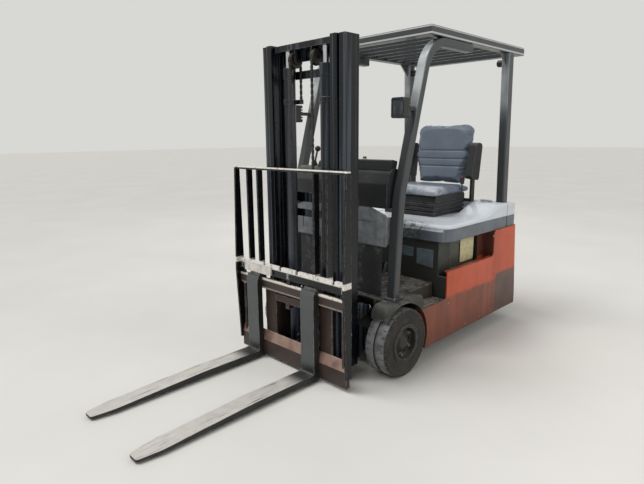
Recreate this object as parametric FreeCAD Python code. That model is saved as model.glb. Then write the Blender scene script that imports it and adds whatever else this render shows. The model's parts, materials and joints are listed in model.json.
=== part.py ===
"""Three-wheel electric counterbalance truck with a two-stage mast, modelled piece by piece.

Millimetres. X points to the truck's left, Y to its rear, so the forks reach towards -Y, and Z
points up from the floor. Every size is laid out from the front axle's centre on the floor, and
the finished pieces are moved so that the origin lies under the middle of the whole length.
"""

import FreeCAD
import Part
import math
import os

Vector = FreeCAD.Vector

# Clearances
SEAT_GAP = 0.3          # between curved faces that seat on each other
RUNNING_GAP = 5.0       # between pieces that move past each other

# Driving sizes
FORK_REACH = 1500.0     # front axle to the fork tips
TAIL_REACH = 1500.0     # front axle to the counterweight's back
BODY_HALF = 515.0       # half the body's width
MAST_TOP = 1905.0
ROOF_TOP = 2008.0
LIFT_STROKE = 1360.0    # rise of each mast stage

# Front wheels: press-on tyres on dished rims
FRONT_TYRE_DIA = 406.0
FRONT_TYRE_WIDTH = 152.0
FRONT_TYRE_PROUD = 15.0
FRONT_TYRE_FACE_X = BODY_HALF + FRONT_TYRE_PROUD
RIM_SEAT_R = 104.0
RIM_WALL = 8.0
RIM_FLANGE_R = 115.0
RIM_FLANGE_THICK = 6.0
RIM_DISC_THICK = 16.0
HUB_R = 68.0
STUB_R = 30.0
TYRE_SHOULDER = 20.0
TREAD_GROOVE_HALF = 7.0
TREAD_GROOVE_DEEP = 9.0
RIM_DISH = 58.0
HUB_BACK_INSET = 32.0
HUB_FACE_INSET = 34.0
HUB_CAP_INSET = 18.0
HAND_HOLES = 6
HAND_HOLE_R = 9.0
HAND_HOLE_RING_R = 82.0

# Steered twin wheels under the tail
REAR_AXLE_Y = TAIL_REACH - 275.0
REAR_TYRE_DIA = 381.0
REAR_TYRE_WIDTH = 114.0
REAR_TRACK = 180.0
YOKE_WEB_THICK = 40.0
YOKE_WEB_LENGTH = 150.0
YOKE_BOSS_R = 58.0
YOKE_SHAFT_R = 28.0
TURNTABLE_R = 140.0
TURNTABLE_THICK = 24.0
KINGPIN_R = 45.0
KINGPIN_LENGTH = 120.0
STEER_WELL_R = 252.0
STEER_WELL_TOP = 452.0

# Body shell
SKIN = 8.0
SKIRT_BOTTOM = 105.0
FLOOR_TOP = 450.0
FLOOR_THICK = 8.0
STEP_TOP = 360.0
STEP_DEEP = 115.0
STEP_INNER_X = BODY_HALF - STEP_DEEP
STEP_REAR_Y = 446.0
FENDER_FRONT_Y = -165.0
ARCH_R = 236.0
PANEL_TOP = 540.0
BODY_TOP = 724.0
PANEL_DROP = 10.0
POST_WIDE = 12.0
LIP_WIDE = 34.0
FENDER_EDGE_R = 26.0
FENDER_FRONT_R = 60.0
STEP_RIBS = 4
RIB_HIGH = 4.0

# Frame and battery
RAIL_THICK = 12.0
RAIL_X = (STEP_INNER_X - 60.0, STEP_INNER_X - 60.0 + RAIL_THICK)
RAIL_FRONT_Y = -70.0
RAIL_BOTTOM = 120.0
RAIL_FLANGE = 16.0
FRAME_TIE_Y = (190.0, 202.0)
BAY_FRONT_Y = 462.0
BAY_REAR_Y = REAR_AXLE_Y - STEER_WELL_R + 1.0
BAY_SIDE_ROOM = 70.0
BAY_HALF = BODY_HALF - SKIN - BAY_SIDE_ROOM
BAY_PLATE = 8.0
BAY_FLOOR_Z = 112.0
BAY_TOP = BODY_TOP - 6.0
BAY_RAIL = 16.0
WINDOW_FRONT_Y = BAY_FRONT_Y + 140.0
PANEL_REAR_Y = BAY_REAR_Y + 102.0
BATTERY_GAP = 12.0
BATTERY_TOP = BAY_TOP - 14.0
FLOOR_RIBS = 12
FLOOR_RIB_HALF = 330.0
FLOOR_RIB_Y = (210.0, BAY_FRONT_Y - 14.0)

# Drive axle
AXLE_TUBE_R = 45.0
MOTOR_R = 102.0
MOTOR_INNER_X = 15.0
MOTOR_FLANGE_THICK = 14.0
HUB_CARRIER_R = 62.0

# Counterweight
TAIL_LOW_CORNER_R = 66.0
TAIL_TOP_CORNER_R = 112.0
TAIL_TOP_REAR_Y = TAIL_REACH - 20.0
TAIL_WAIST_Z = 165.0
TAIL_BEVEL = 40.0
TAIL_SEAM = 2.0
TAIL_FRONT_Y = PANEL_REAR_Y + TAIL_SEAM
TAIL_TONGUE_HALF = BAY_HALF - 7.0
TAIL_TONGUE_Z = (STEER_WELL_TOP, BAY_TOP - 10.0)
TOW_NICHE_HALF = 80.0
TOW_NICHE_DEEP = 80.0
TOW_NICHE_FRONT_Y = TAIL_REACH - TOW_NICHE_DEEP
TOW_NICHE_Z = (475.0, 690.0)
TOW_EAR_Z = ((495.0, 513.0), (570.0, 588.0))
TOW_EAR_REAR_Y = TAIL_REACH - 16.0
TOW_PIN_Y = TAIL_REACH - 48.0
TOW_PIN_R = 15.0
TOW_PIN_WAY_R = 17.0
PIN_DROP_HALF = 24.0
PIN_DROP_Y = (TOW_PIN_Y - 22.0, TOW_PIN_Y + 18.0)
PIN_NOTCH_HALF = 60.0
PIN_NOTCH_FRONT_Y = TOW_PIN_Y - 40.0

# Hood and tail cover
HOOD_INSET = 15.0
HOOD_HALF = BODY_HALF - HOOD_INSET
HOOD_FRONT_Y = BAY_FRONT_Y - 12.0
HOOD_REAR_Y = TAIL_REACH - 230.0
HOOD_TOP = 830.0
SHOULDER_TOP = 898.0
SHOULDER_START_Y = HOOD_REAR_Y - 310.0
SHOULDER_END_Y = HOOD_REAR_Y - 110.0
HOOD_SHELL = 10.0
HOOD_CORNER_R = 90.0
HOOD_EDGE_R = 22.0
BAND_GROOVE_Z = (803.0, 808.0)
BAND_GROOVE_DEEP = 3.0
LATCH_HALF = 55.0
LATCH_Z = (752.0, 786.0)
LATCH_DEEP = 5.0
COVER_GAP = 8.0
COVER_REAR_Y = TAIL_TOP_REAR_Y - 6.0
COVER_BACK_TOP = 820.0
HINGE_R = 7.5
HINGE_PIN_R = 4.0
HINGE_LEAF = 4.0
HINGE_KNUCKLES = ((285.0, 315.0), (316.0, 344.0), (345.0, 375.0))

# Overhead guard
GUARD_INSET = 65.0
GUARD_HALF = BODY_HALF - GUARD_INSET
PILLAR_WIDE = 60.0
PILLAR_EDGE_R = 10.0
FOOT_THICK = 10.0
GUSSET_LONG = 90.0
FRONT_PILLAR_DEEP = 52.0
FRONT_PILLAR_FOOT_Y = 6.0
FRONT_PILLAR_KNEE = (46.0, 1045.0)
FRONT_PILLAR_CROWN_Y = 295.0
FRONT_PILLAR_LEG_END_Y = 750.0
REAR_PILLAR_DEEP = 70.0
REAR_PILLAR_FOOT_Y = TAIL_REACH - 155.0
REAR_PILLAR_HEAD_Y = TAIL_REACH - 200.0
ROOF_DEEP = 56.0
ROOF_FRONT_Y = 285.0
ROOF_REAR_Y = TAIL_REACH - 10.0
ROOF_BEAM_WIDE = 60.0
ROOF_BARS = 8
ROOF_BAR_THICK = 12.0
LAMP_HALF_WIDE = 43.0
LAMP_X = GUARD_HALF - 18.0
LAMP_Z = (1485.0, 1595.0)
LAMP_Y = (0.0, 62.0)
LAMP_RIM = 8.0
LAMP_FIN_PITCH = 16.0
TAIL_LAMP_R = 24.0
TAIL_LAMP_LONG = 40.0
TAIL_LAMP_DROP = 62.0

# Cowl, dash and controls
COWL_Y = (-22.0, -10.0)
COWL_SIDE_GAP = 6.0
COWL_HALF = GUARD_HALF - PILLAR_WIDE - COWL_SIDE_GAP
COWL_BOTTOM = 756.0
COWL_TOP = 982.0
DASH_REAR_Y = 112.0
DASH_TOP = 1205.0
DASH_WALL = 8.0
POD_HIGH = 54.0
POD_LONG = 260.0
COLUMN_FOOT = (120.0, 450.0)
COLUMN_HEAD = (284.0, 1106.0)
COLUMN_R = 42.0
COLLAR_LONG = 60.0
WHEEL_SHAFT_R = 11.0
WHEEL_RING_R = 146.0
WHEEL_RING_TUBE_R = 13.0
PEDAL_ROWS = ((-150.0, 60.0), (150.0, 90.0))   # centre in X, width
PEDAL_Y = 150.0
LEVERS = 3
LEVER_FIRST_X = 114.0 - COWL_HALF
LEVER_PITCH = 60.0

# Seat
SEAT_BASE_HALF = 215.0
SEAT_WELL_HALF = SEAT_BASE_HALF + 53.0
SEAT_BASE_Y = (HOOD_REAR_Y - 535.0, HOOD_REAR_Y - 120.0)
SEAT_BASE_TOP = 975.0
BELLOWS_Z = (HOOD_TOP + 25.0, HOOD_TOP + 55.0, HOOD_TOP + 85.0)
CUSHION_HALF = 245.0
CUSHION_THICK = 67.0
CUSHION_Y = (SEAT_BASE_Y[0] - 30.0, SEAT_BASE_Y[1])
CUSHION_TOP = SEAT_BASE_TOP + CUSHION_THICK
BACK_HEIGHT = 445.0
BACK_THICK = 92.0
BACK_HALF = 236.0
BACK_FOOT_Y = SEAT_BASE_Y[1] - 32.0
BACK_HEAD_Y = BACK_FOOT_Y + 72.0
RESTRAINT_X = (BACK_HALF + 12.0, BACK_HALF + 68.0)
WING_FOOT_Y = (SEAT_BASE_Y[1] - 70.0, SEAT_BASE_Y[1] + 40.0)
WING_HEAD_Y = (SEAT_BASE_Y[1] - 10.0, SEAT_BASE_Y[1] + 75.0)
STAY_Y = (SEAT_BASE_Y[1] + 2.0, SEAT_BASE_Y[1] + 42.0)

# Mast stages
MAST_BOTTOM = 80.0
OUTER_RAIL_WIDE = 45.0
OUTER_RAIL_FACE_X = FRONT_TYRE_FACE_X - FRONT_TYRE_WIDTH - 48.0
OUTER_RAIL_X = (OUTER_RAIL_FACE_X - OUTER_RAIL_WIDE, OUTER_RAIL_FACE_X)
OUTER_RAIL_Y = (-310.0, -196.0)
OUTER_WEB = 12.0
OUTER_FLANGE = 18.0
INNER_RAIL_X = (OUTER_RAIL_X[0] - 50.0, OUTER_RAIL_X[0] - 5.0)
INNER_RAIL_Y = (-325.0, -215.0)
INNER_WEB = 12.0
INNER_FLANGE = 16.0
INNER_BOTTOM = 104.0
RAIL_ROOT_R = 8.0
RAIL_CAP = 10.0
TIE_THICK = 12.0
OUTER_TIE_Y = (OUTER_RAIL_Y[1] - 3.0, OUTER_RAIL_Y[1] + 10.0)
INNER_TIE_Y = (INNER_RAIL_Y[1] - 2.5, INNER_RAIL_Y[1] + 10.0)
OUTER_TIES = (          # height span, rise of the arch
    ((230.0, 330.0), 30.0),
    ((980.0, 1060.0), 22.0),
    ((MAST_TOP - 135.0, MAST_TOP), 45.0),
)
INNER_TIES = (          # height span, rise of the arch
    ((200.0, 280.0), 22.0),
    ((900.0, 960.0), 16.0),
    ((MAST_TOP - 205.0, MAST_TOP - 145.0), 16.0),
)
MAST_ROLLER_Z = (190.0, 460.0)
MAST_PIVOT_Y = -95.0
MAST_PIVOT_Z = 203.0
MAST_PIVOT_R = 20.0
PIVOT_EYE_R = 36.0
PIVOT_LUG_X = (OUTER_RAIL_FACE_X - 31.0, OUTER_RAIL_FACE_X - 9.0)
PIVOT_EAR_X = ((PIVOT_LUG_X[0] - 16.0, PIVOT_LUG_X[0] - 4.0), (PIVOT_LUG_X[1] + 4.0, PIVOT_LUG_X[1] + 16.0))

# Lift cylinders and chains
LIFT_X = INNER_RAIL_X[0] - 85.0
LIFT_Y = -262.0
LIFT_BARREL_R = 35.0
LIFT_BARREL_TOP = MAST_TOP - 130.0
LIFT_ROD_R = 20.0
HEAD_BEAM_Z = (MAST_TOP - 37.0, MAST_TOP - 5.0)
SHEAVE_X = LIFT_X - 62.0
SHEAVE_Y = LIFT_Y - 8.0
SHEAVE_R = 44.0
SHEAVE_Z = HEAD_BEAM_Z[0] - SHEAVE_R - 12.0
SHEAVE_WIDE = 26.0
SHEAVE_PIN_R = 12.0
GROOVE_DEEP = 8.0
CHAIN_WIDE = 18.0
CHAIN_THICK = 10.0
CHAIN_ANCHOR_Z = SHEAVE_Z - 212.0
ANCHOR_THICK = 24.0

# Tilt cylinders
TILT_X = OUTER_RAIL_FACE_X - 30.0
TILT_PIN_R = 12.0
TILT_REAR_PIN = (400.0, 330.0)
TILT_FRONT_PIN = (-108.0, 395.0)
TILT_BARREL_R = 32.0
TILT_ROD_R = 15.0
TILT_EYE_R = 26.0
TILT_EYE_HALF = 10.0
TILT_EYE_PLAY = 3.0
TILT_BARREL_SPAN = (45.0, 320.0)   # along the cylinder from its rear pin
TILT_ROD_START = 160.0
TILT_EAR_X = ((TILT_X - 24.0, TILT_X - 14.0), (TILT_X + 14.0, TILT_X + 24.0))

# Carriage, load backrest and forks
SIDE_SHIFT = -45.0
CARRIAGE_HALF = 466.0
CARRIAGE_PLATE_X = (INNER_RAIL_X[0] - 24.0, INNER_RAIL_X[0] - 6.0)
CARRIAGE_TOP = HEAD_BEAM_Z[0] - LIFT_STROKE - 8.0
CARRIAGE_ROLLER_Z = (165.0, 300.0, 435.0)
BAR_THICK = 28.0
LOWER_BAR_Z = (22.0, 176.0)
LOWER_BAR_FACE_TOP = 118.0
UPPER_BAR_Z = (456.0, 528.0)
END_PLATE_OFFSET = 437.0
NOTCHES = 5
CHAIN_LUG_TOP = SHEAVE_Z - SHEAVE_R - 6.0 - LIFT_STROKE
CHAIN_LUG_THICK = 26.0
BACKREST_THICK = 12.0
BACKREST_RAIL_Z = (556.0, 600.0)
BACKREST_TAB_TOP = 626.0
TAB_PITCH = 147.0
TAB_WIDE = 127.0
TABS_EACH_SIDE = 3
FOOT_OFFSETS = (-440.0, 0.0, 440.0)
INNER_BAR_OFFSETS = (-368.0, -268.0, 222.0, 322.0)
INNER_BAR_DEEP = 40.0
BACKREST_TOP = 1215.0
FORK_THICK = 38.0
FORK_WIDE = 108.0
FORK_BOTTOM = 12.0
FORK_SHANK_TOP = 545.0
FORK_FACE_Y = -440.0
UPRIGHT_Y = (FORK_FACE_Y + 6.0, FORK_FACE_Y + 68.0)
FORK_TIP_THICK = 12.0
FORK_TAPER_LENGTH = 650.0
FORK_HEEL_R = 24.0
HOOK_THICK = 26.0
LATCH_HANDLE_HALF = 12.0
FORK_CENTRES = {"left": 155.0, "right": -345.0}

# Values that follow
AXLE_Z = FRONT_TYRE_DIA / 2
REAR_AXLE_Z = REAR_TYRE_DIA / 2
FRONT_WHEEL_X = FRONT_TYRE_FACE_X - FRONT_TYRE_WIDTH / 2
ORIGIN_SHIFT_Y = (FORK_REACH - TAIL_REACH) / 2
FLOOR_UNDER = FLOOR_TOP - FLOOR_THICK
ARCH_FOOT_Y = math.sqrt(ARCH_R ** 2 - (AXLE_Z - SKIRT_BOTTOM) ** 2)
FENDER_REAR_Y = ARCH_FOOT_Y - 30.0
STEP_FRONT_Y = ARCH_FOOT_Y - 60.0
PANEL_FRONT_Y = BAY_FRONT_Y - 12.0
MOTOR_END_X = PIVOT_EAR_X[0][0] - 51.0
NECK_END_X = PIVOT_EAR_X[0][0] - 11.0
ROOF_BOTTOM = ROOF_TOP - ROOF_DEEP
LEG_Z = ROOF_BOTTOM - FRONT_PILLAR_DEEP / 2
BODY_JOIN = BODY_TOP + SEAT_GAP
BACK_BOTTOM = CUSHION_TOP - 9.0
BACK_TOP = BACK_BOTTOM + BACK_HEIGHT
FORK_BACK_Y = FORK_FACE_Y + FORK_THICK
BAR_Y = (FORK_BACK_Y + SEAT_GAP, FORK_BACK_Y + SEAT_GAP + BAR_THICK)
BACKREST_Y = (FORK_BACK_Y + 3.0, FORK_BACK_Y + 3.0 + BACKREST_THICK)
HINGE_Y = HOOD_REAR_Y + COVER_GAP / 2
HINGE_Z = SHOULDER_TOP + HINGE_R + 0.5

SIDES = {"left": 1.0, "right": -1.0}
PLANES = {
    "yz": (lambda a, b: Vector(0, a, b), Vector(1, 0, 0)),
    "xz": (lambda a, b: Vector(a, 0, b), Vector(0, 1, 0)),
    "xy": (lambda a, b: Vector(a, b, 0), Vector(0, 0, 1)),
}


def block(x, y, z):
    """Box between the low and high end given for each axis."""
    return Part.makeBox(x[1] - x[0], y[1] - y[0], z[1] - z[0], Vector(x[0], y[0], z[0]))


def round_bar(radius, start, end):
    """Cylinder from one point to another."""
    along = end.sub(start)
    return Part.makeCylinder(radius, along.Length, start, along)


def cross_bar(radius, x, y, z):
    """Cylinder along X between two x values."""
    return round_bar(radius, Vector(x[0], y, z), Vector(x[1], y, z))


def outline(points, plane):
    """Closed wire through corners (a, b) or (a, b, radius), where a radius rounds the corner."""
    lift = PLANES[plane][0]
    spots = [lift(point[0], point[1]) for point in points]
    entries = []
    for index, point in enumerate(points):
        corner = spots[index]
        if len(point) < 3 or not point[2]:
            entries.append((corner, None, corner))
            continue
        back = spots[index - 1].sub(corner).normalize()
        ahead = spots[(index + 1) % len(spots)].sub(corner).normalize()
        half_angle = back.getAngle(ahead) / 2
        reach = point[2] / math.tan(half_angle)
        middle = back.add(ahead).normalize()
        mid_distance = point[2] / math.sin(half_angle) - point[2]
        entries.append((
            corner.add(Vector(back).multiply(reach)),
            corner.add(Vector(middle).multiply(mid_distance)),
            corner.add(Vector(ahead).multiply(reach)),
        ))
    edges = []
    for index, (start, middle, end) in enumerate(entries):
        if middle is not None:
            edges.append(Part.Arc(start, middle, end).toShape())
        following = entries[(index + 1) % len(entries)][0]
        if end.sub(following).Length > 1e-6:
            edges.append(Part.LineSegment(end, following).toShape())
    return Part.Wire(edges)


def slab(points, plane, span):
    """Solid of an outline, carried through its plane's third axis from span[0] to span[1]."""
    normal = PLANES[plane][1]
    face = Part.Face(outline(points, plane))
    face.translate(Vector(normal).multiply(span[0]))
    return face.extrude(Vector(normal).multiply(span[1] - span[0]))


def turned(points, x, y, z):
    """Ring or disc turned about X from an outline of (x, radius) corners, set at a centre."""
    face = Part.Face(outline(points, "xz"))
    solid = face.revolve(Vector(0, 0, 0), Vector(1, 0, 0), 360)
    solid.translate(Vector(x, y, z))
    return solid


def bent_strip(path, width):
    """Outline of a bar of even width along (a, b, bend radius) points."""
    half = width / 2
    last = len(path) - 1
    near_side = []
    far_side = []
    for index, (a, b, radius) in enumerate(path):
        before = path[max(index - 1, 0)]
        after = path[min(index + 1, last)]
        into = Vector(a - before[0], b - before[1], 0)
        out = Vector(after[0] - a, after[1] - b, 0)
        into = into.normalize() if index else Vector(out).normalize()
        out = out.normalize() if index < last else Vector(into)
        side_in = Vector(-into.y, into.x, 0)
        side_out = Vector(-out.y, out.x, 0)
        mitre = side_in.add(side_out).normalize()
        reach = half / mitre.dot(side_in)
        turn = math.copysign(half, into.x * out.y - into.y * out.x) if radius else 0
        near_side.append((a + mitre.x * reach, b + mitre.y * reach, radius - turn))
        far_side.append((a - mitre.x * reach, b - mitre.y * reach, radius + turn))
    return near_side + far_side[::-1]


def joined(shapes):
    """One shape of all the given ones, with shared faces merged."""
    shapes = list(shapes)
    if len(shapes) == 1:
        return shapes[0]
    return shapes[0].multiFuse(shapes[1:]).removeSplitter()


def mirrored(shape):
    """The same shape on the other side of the truck."""
    return shape.mirror(Vector(0, 0, 0), Vector(1, 0, 0))


def both_sides(shape):
    """A shape with its mirror image."""
    return joined([shape, mirrored(shape)])


def on_side(shape, side):
    """A shape made on the left, put on the named side."""
    return shape if SIDES[side] > 0 else mirrored(shape)


def tyre(radius, width):
    """Solid press-on tyre about X: grooved tread, bevelled shoulders, walls drawn in at the rim."""
    half = width / 2
    bore = RIM_SEAT_R + SEAT_GAP
    wall = half - RIM_FLANGE_THICK - SEAT_GAP
    bead = RIM_FLANGE_R + 3
    return [
        (-wall, bore),
        (wall, bore),
        (wall, bead),
        (half, radius - TYRE_SHOULDER),
        (half - TYRE_SHOULDER, radius),
        (TREAD_GROOVE_HALF, radius),
        (0, radius - TREAD_GROOVE_DEEP),
        (-TREAD_GROOVE_HALF, radius),
        (-half + TYRE_SHOULDER, radius),
        (-half, radius - TYRE_SHOULDER),
        (-wall, bead),
    ]


def hand_holes(x, y, z):
    """Round holes through a rim's disc, set evenly about the wheel's centre."""
    holes = []
    for index in range(HAND_HOLES):
        angle = 2 * math.pi * index / HAND_HOLES
        holes.append(cross_bar(HAND_HOLE_R, x, y + HAND_HOLE_RING_R * math.cos(angle),
                               z + HAND_HOLE_RING_R * math.sin(angle)))
    return Part.makeCompound(holes)


def front_rim():
    """Dished disc rim with a closed hub on the stub axle, its open side towards +X."""
    half = FRONT_TYRE_WIDTH / 2
    inside = RIM_SEAT_R - RIM_WALL
    disc = (half - RIM_DISH, half - RIM_DISH + RIM_DISC_THICK)
    bore = STUB_R + SEAT_GAP
    back = -half + HUB_BACK_INSET
    profile = [
        (half, inside),
        (half, RIM_FLANGE_R),
        (half - RIM_FLANGE_THICK, RIM_FLANGE_R),
        (half - RIM_FLANGE_THICK, RIM_SEAT_R),
        (-half + RIM_FLANGE_THICK, RIM_SEAT_R),
        (-half + RIM_FLANGE_THICK, RIM_FLANGE_R),
        (-half, RIM_FLANGE_R),
        (-half, inside),
        (disc[0], inside, 8),
        (disc[0], HUB_R, 8),
        (back, HUB_R),
        (back, bore),
        (half - HUB_FACE_INSET, bore),
        (half - HUB_FACE_INSET, 0),
        (half - HUB_CAP_INSET, 0),
        (half - HUB_CAP_INSET, 34, 6),
        (half - HUB_FACE_INSET, 52),
        (disc[1], HUB_R, 6),
        (disc[1], inside, 8),
    ]
    rim = turned(profile, FRONT_WHEEL_X, 0, AXLE_Z)
    span = (FRONT_WHEEL_X + disc[0] - 1, FRONT_WHEEL_X + disc[1] + 1)
    return rim.cut(hand_holes(span, 0, AXLE_Z))


def rear_rims():
    """Twin rims joined by the turning axle that runs in the yoke's boss."""
    half = REAR_TYRE_WIDTH / 2
    centre = REAR_TRACK / 2
    inside = RIM_SEAT_R - RIM_WALL
    end = centre + half - 14
    disc = (centre, centre + RIM_DISC_THICK)
    profile = [
        (centre + half, inside),
        (centre + half, RIM_FLANGE_R),
        (centre + half - RIM_FLANGE_THICK, RIM_FLANGE_R),
        (centre + half - RIM_FLANGE_THICK, RIM_SEAT_R),
        (centre - half + RIM_FLANGE_THICK, RIM_SEAT_R),
        (centre - half + RIM_FLANGE_THICK, RIM_FLANGE_R),
        (centre - half, RIM_FLANGE_R),
        (centre - half, inside),
        (disc[0], inside, 8),
        (disc[0], HUB_R, 8),
        (centre - half + 2, HUB_R),
        (centre - half + 2, YOKE_SHAFT_R),
        (0, YOKE_SHAFT_R),
        (0, 0),
        (end, 0),
        (end, 38, 6),
        (disc[1], HUB_R, 6),
        (disc[1], inside, 8),
    ]
    rim = turned(profile, 0, REAR_AXLE_Y, REAR_AXLE_Z)
    return both_sides(rim.cut(hand_holes((disc[0] - 1, disc[1] + 1), REAR_AXLE_Y, REAR_AXLE_Z)))


def steer_yoke():
    """Turntable and kingpin with one web that comes down between the twin wheels."""
    half = YOKE_WEB_THICK / 2
    top = STEER_WELL_TOP - RUNNING_GAP
    plate = round_bar(TURNTABLE_R, Vector(0, REAR_AXLE_Y, top - TURNTABLE_THICK), Vector(0, REAR_AXLE_Y, top))
    pin = round_bar(KINGPIN_R, Vector(0, REAR_AXLE_Y, top - 1), Vector(0, REAR_AXLE_Y, top + KINGPIN_LENGTH))
    reach = YOKE_WEB_LENGTH / 2
    web = slab([
        (REAR_AXLE_Y - reach, top - TURNTABLE_THICK + 1),
        (REAR_AXLE_Y - YOKE_BOSS_R, REAR_AXLE_Z - YOKE_BOSS_R, YOKE_BOSS_R),
        (REAR_AXLE_Y + YOKE_BOSS_R, REAR_AXLE_Z - YOKE_BOSS_R, YOKE_BOSS_R),
        (REAR_AXLE_Y + reach, top - TURNTABLE_THICK + 1),
    ], "yz", (-half, half))
    boss_half = REAR_TRACK / 2 - REAR_TYRE_WIDTH / 2 - RUNNING_GAP
    boss = cross_bar(YOKE_BOSS_R, (-boss_half, boss_half), REAR_AXLE_Y, REAR_AXLE_Z)
    bore = cross_bar(YOKE_SHAFT_R + SEAT_GAP, (-boss_half - 1, boss_half + 1), REAR_AXLE_Y, REAR_AXLE_Z)
    return joined([plate, pin, web, boss]).cut(bore)


def fender():
    """Left fender over the front wheel: a closed sheet form with a lip along the arch."""
    foot = AXLE_Z + 120

    def form(inset, edge_r, inner_x):
        """Solid of the fender, drawn in by an inset."""
        outer_x = BODY_HALF - inset
        solid = slab([
            (FENDER_FRONT_Y + inset, foot - inset),
            (FENDER_FRONT_Y + inset, FLOOR_TOP - inset, FENDER_FRONT_R - inset),
            (FENDER_REAR_Y - inset, FLOOR_TOP - inset),
            (FENDER_REAR_Y - inset, foot - inset),
        ], "yz", (inner_x, outer_x))
        edges = [edge for edge in solid.Edges if edge.BoundBox.XMin > outer_x - 1e-3
                 and edge.BoundBox.ZMax > foot + 1 and edge.BoundBox.YMin < FENDER_REAR_Y - inset - 1e-3]
        return solid.makeFillet(edge_r, edges)

    sheet = form(0, FENDER_EDGE_R, STEP_INNER_X).cut(form(SKIN, FENDER_EDGE_R - SKIN, STEP_INNER_X - 1))
    lip = arch_lip((FENDER_FRONT_Y, FENDER_REAR_Y), (STEP_TOP, FLOOR_UNDER))
    low = block((0, BODY_HALF + 1), (FENDER_FRONT_Y - 1, FENDER_REAR_Y + 1), (0, STEP_TOP + SEAT_GAP))
    return joined([sheet.cut(wheel_room()), lip]).cut(low)


def wheel_room():
    """Cylinder that is kept free round the left front wheel."""
    return cross_bar(ARCH_R, (0, BODY_HALF + 1), 0, AXLE_Z)


def arch_lip(y, z):
    """Part of the inward lip round the wheel arch, within spans along Y and Z."""
    ring = cross_bar(ARCH_R + SKIN, (BODY_HALF - LIP_WIDE, BODY_HALF), 0, AXLE_Z).cut(wheel_room())
    return ring.common(block((0, BODY_HALF), y, z))


def side_shell():
    """Left side of the body: skirt with its sill and ledge, and the liner and lip behind the wheel."""
    skirt = slab([
        (STEP_FRONT_Y, SKIRT_BOTTOM),
        (PANEL_REAR_Y, SKIRT_BOTTOM),
        (PANEL_REAR_Y, BODY_TOP - PANEL_DROP),
        (PANEL_REAR_Y - POST_WIDE, BODY_TOP - PANEL_DROP),
        (PANEL_REAR_Y - POST_WIDE, PANEL_TOP, 24),
        (PANEL_FRONT_Y, PANEL_TOP, 18),
        (PANEL_FRONT_Y, STEP_TOP, 20),
        (STEP_FRONT_Y, STEP_TOP),
    ], "yz", (BODY_HALF - SKIN, BODY_HALF)).cut(wheel_room())
    under_step = STEP_TOP - SKIN - SEAT_GAP
    lip = arch_lip((STEP_FRONT_Y, BAY_FRONT_Y), (SKIRT_BOTTOM, under_step))
    liner = slab([
        (STEP_FRONT_Y, SKIRT_BOTTOM),
        (ARCH_FOOT_Y + SKIN, SKIRT_BOTTOM),
        (ARCH_R + SKIN, AXLE_Z, 60),
        (FENDER_REAR_Y + 3, under_step),
        (STEP_FRONT_Y, under_step),
    ], "yz", (STEP_INNER_X, BODY_HALF - SKIN)).cut(wheel_room())
    sill = block((BODY_HALF - LIP_WIDE, BODY_HALF - 1), (ARCH_FOOT_Y + SKIN, PANEL_REAR_Y),
                 (SKIRT_BOTTOM, SKIRT_BOTTOM + SKIN))
    ledge = block((BODY_HALF - LIP_WIDE, BODY_HALF - 1), (BAY_FRONT_Y + 10, PANEL_REAR_Y - POST_WIDE),
                  (PANEL_TOP - SKIN, PANEL_TOP))
    return joined([skirt, lip, liner, sill, ledge])


def step():
    """Left step: a tread with raised ribs, turned up along the floor's edge."""
    tread = block((STEP_INNER_X, BODY_HALF - SKIN - SEAT_GAP), (STEP_FRONT_Y, STEP_REAR_Y), (STEP_TOP - SKIN, STEP_TOP))
    riser = block((STEP_INNER_X, STEP_INNER_X + SKIN), (FENDER_REAR_Y + SEAT_GAP, STEP_REAR_Y), (STEP_TOP - SKIN, FLOOR_TOP))
    pieces = [tread.cut(wheel_room()), riser]
    pitch = (STEP_DEEP - SKIN) / (STEP_RIBS + 1)
    for index in range(STEP_RIBS):
        centre = STEP_INNER_X + pitch * (index + 1)
        pieces.append(block((centre - 3, centre + 3), (ARCH_FOOT_Y, STEP_REAR_Y - 12), (STEP_TOP - 1, STEP_TOP + RIB_HIGH)))
    return joined(pieces)


def floor_plate():
    """Operator's floor over the frame rails, with the raised ribs of its mat."""
    half = STEP_INNER_X - SEAT_GAP
    plate = block((-half, half), (-60, BAY_FRONT_Y), (FLOOR_UNDER, FLOOR_TOP))
    pitch = 2 * FLOOR_RIB_HALF / FLOOR_RIBS
    ribs = []
    for index in range(FLOOR_RIBS + 1):
        centre = -FLOOR_RIB_HALF + pitch * index
        ribs.append(block((centre - 5, centre + 5), FLOOR_RIB_Y, (FLOOR_TOP - 1, FLOOR_TOP + RIB_HIGH)))
    return joined([plate] + ribs)


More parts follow.
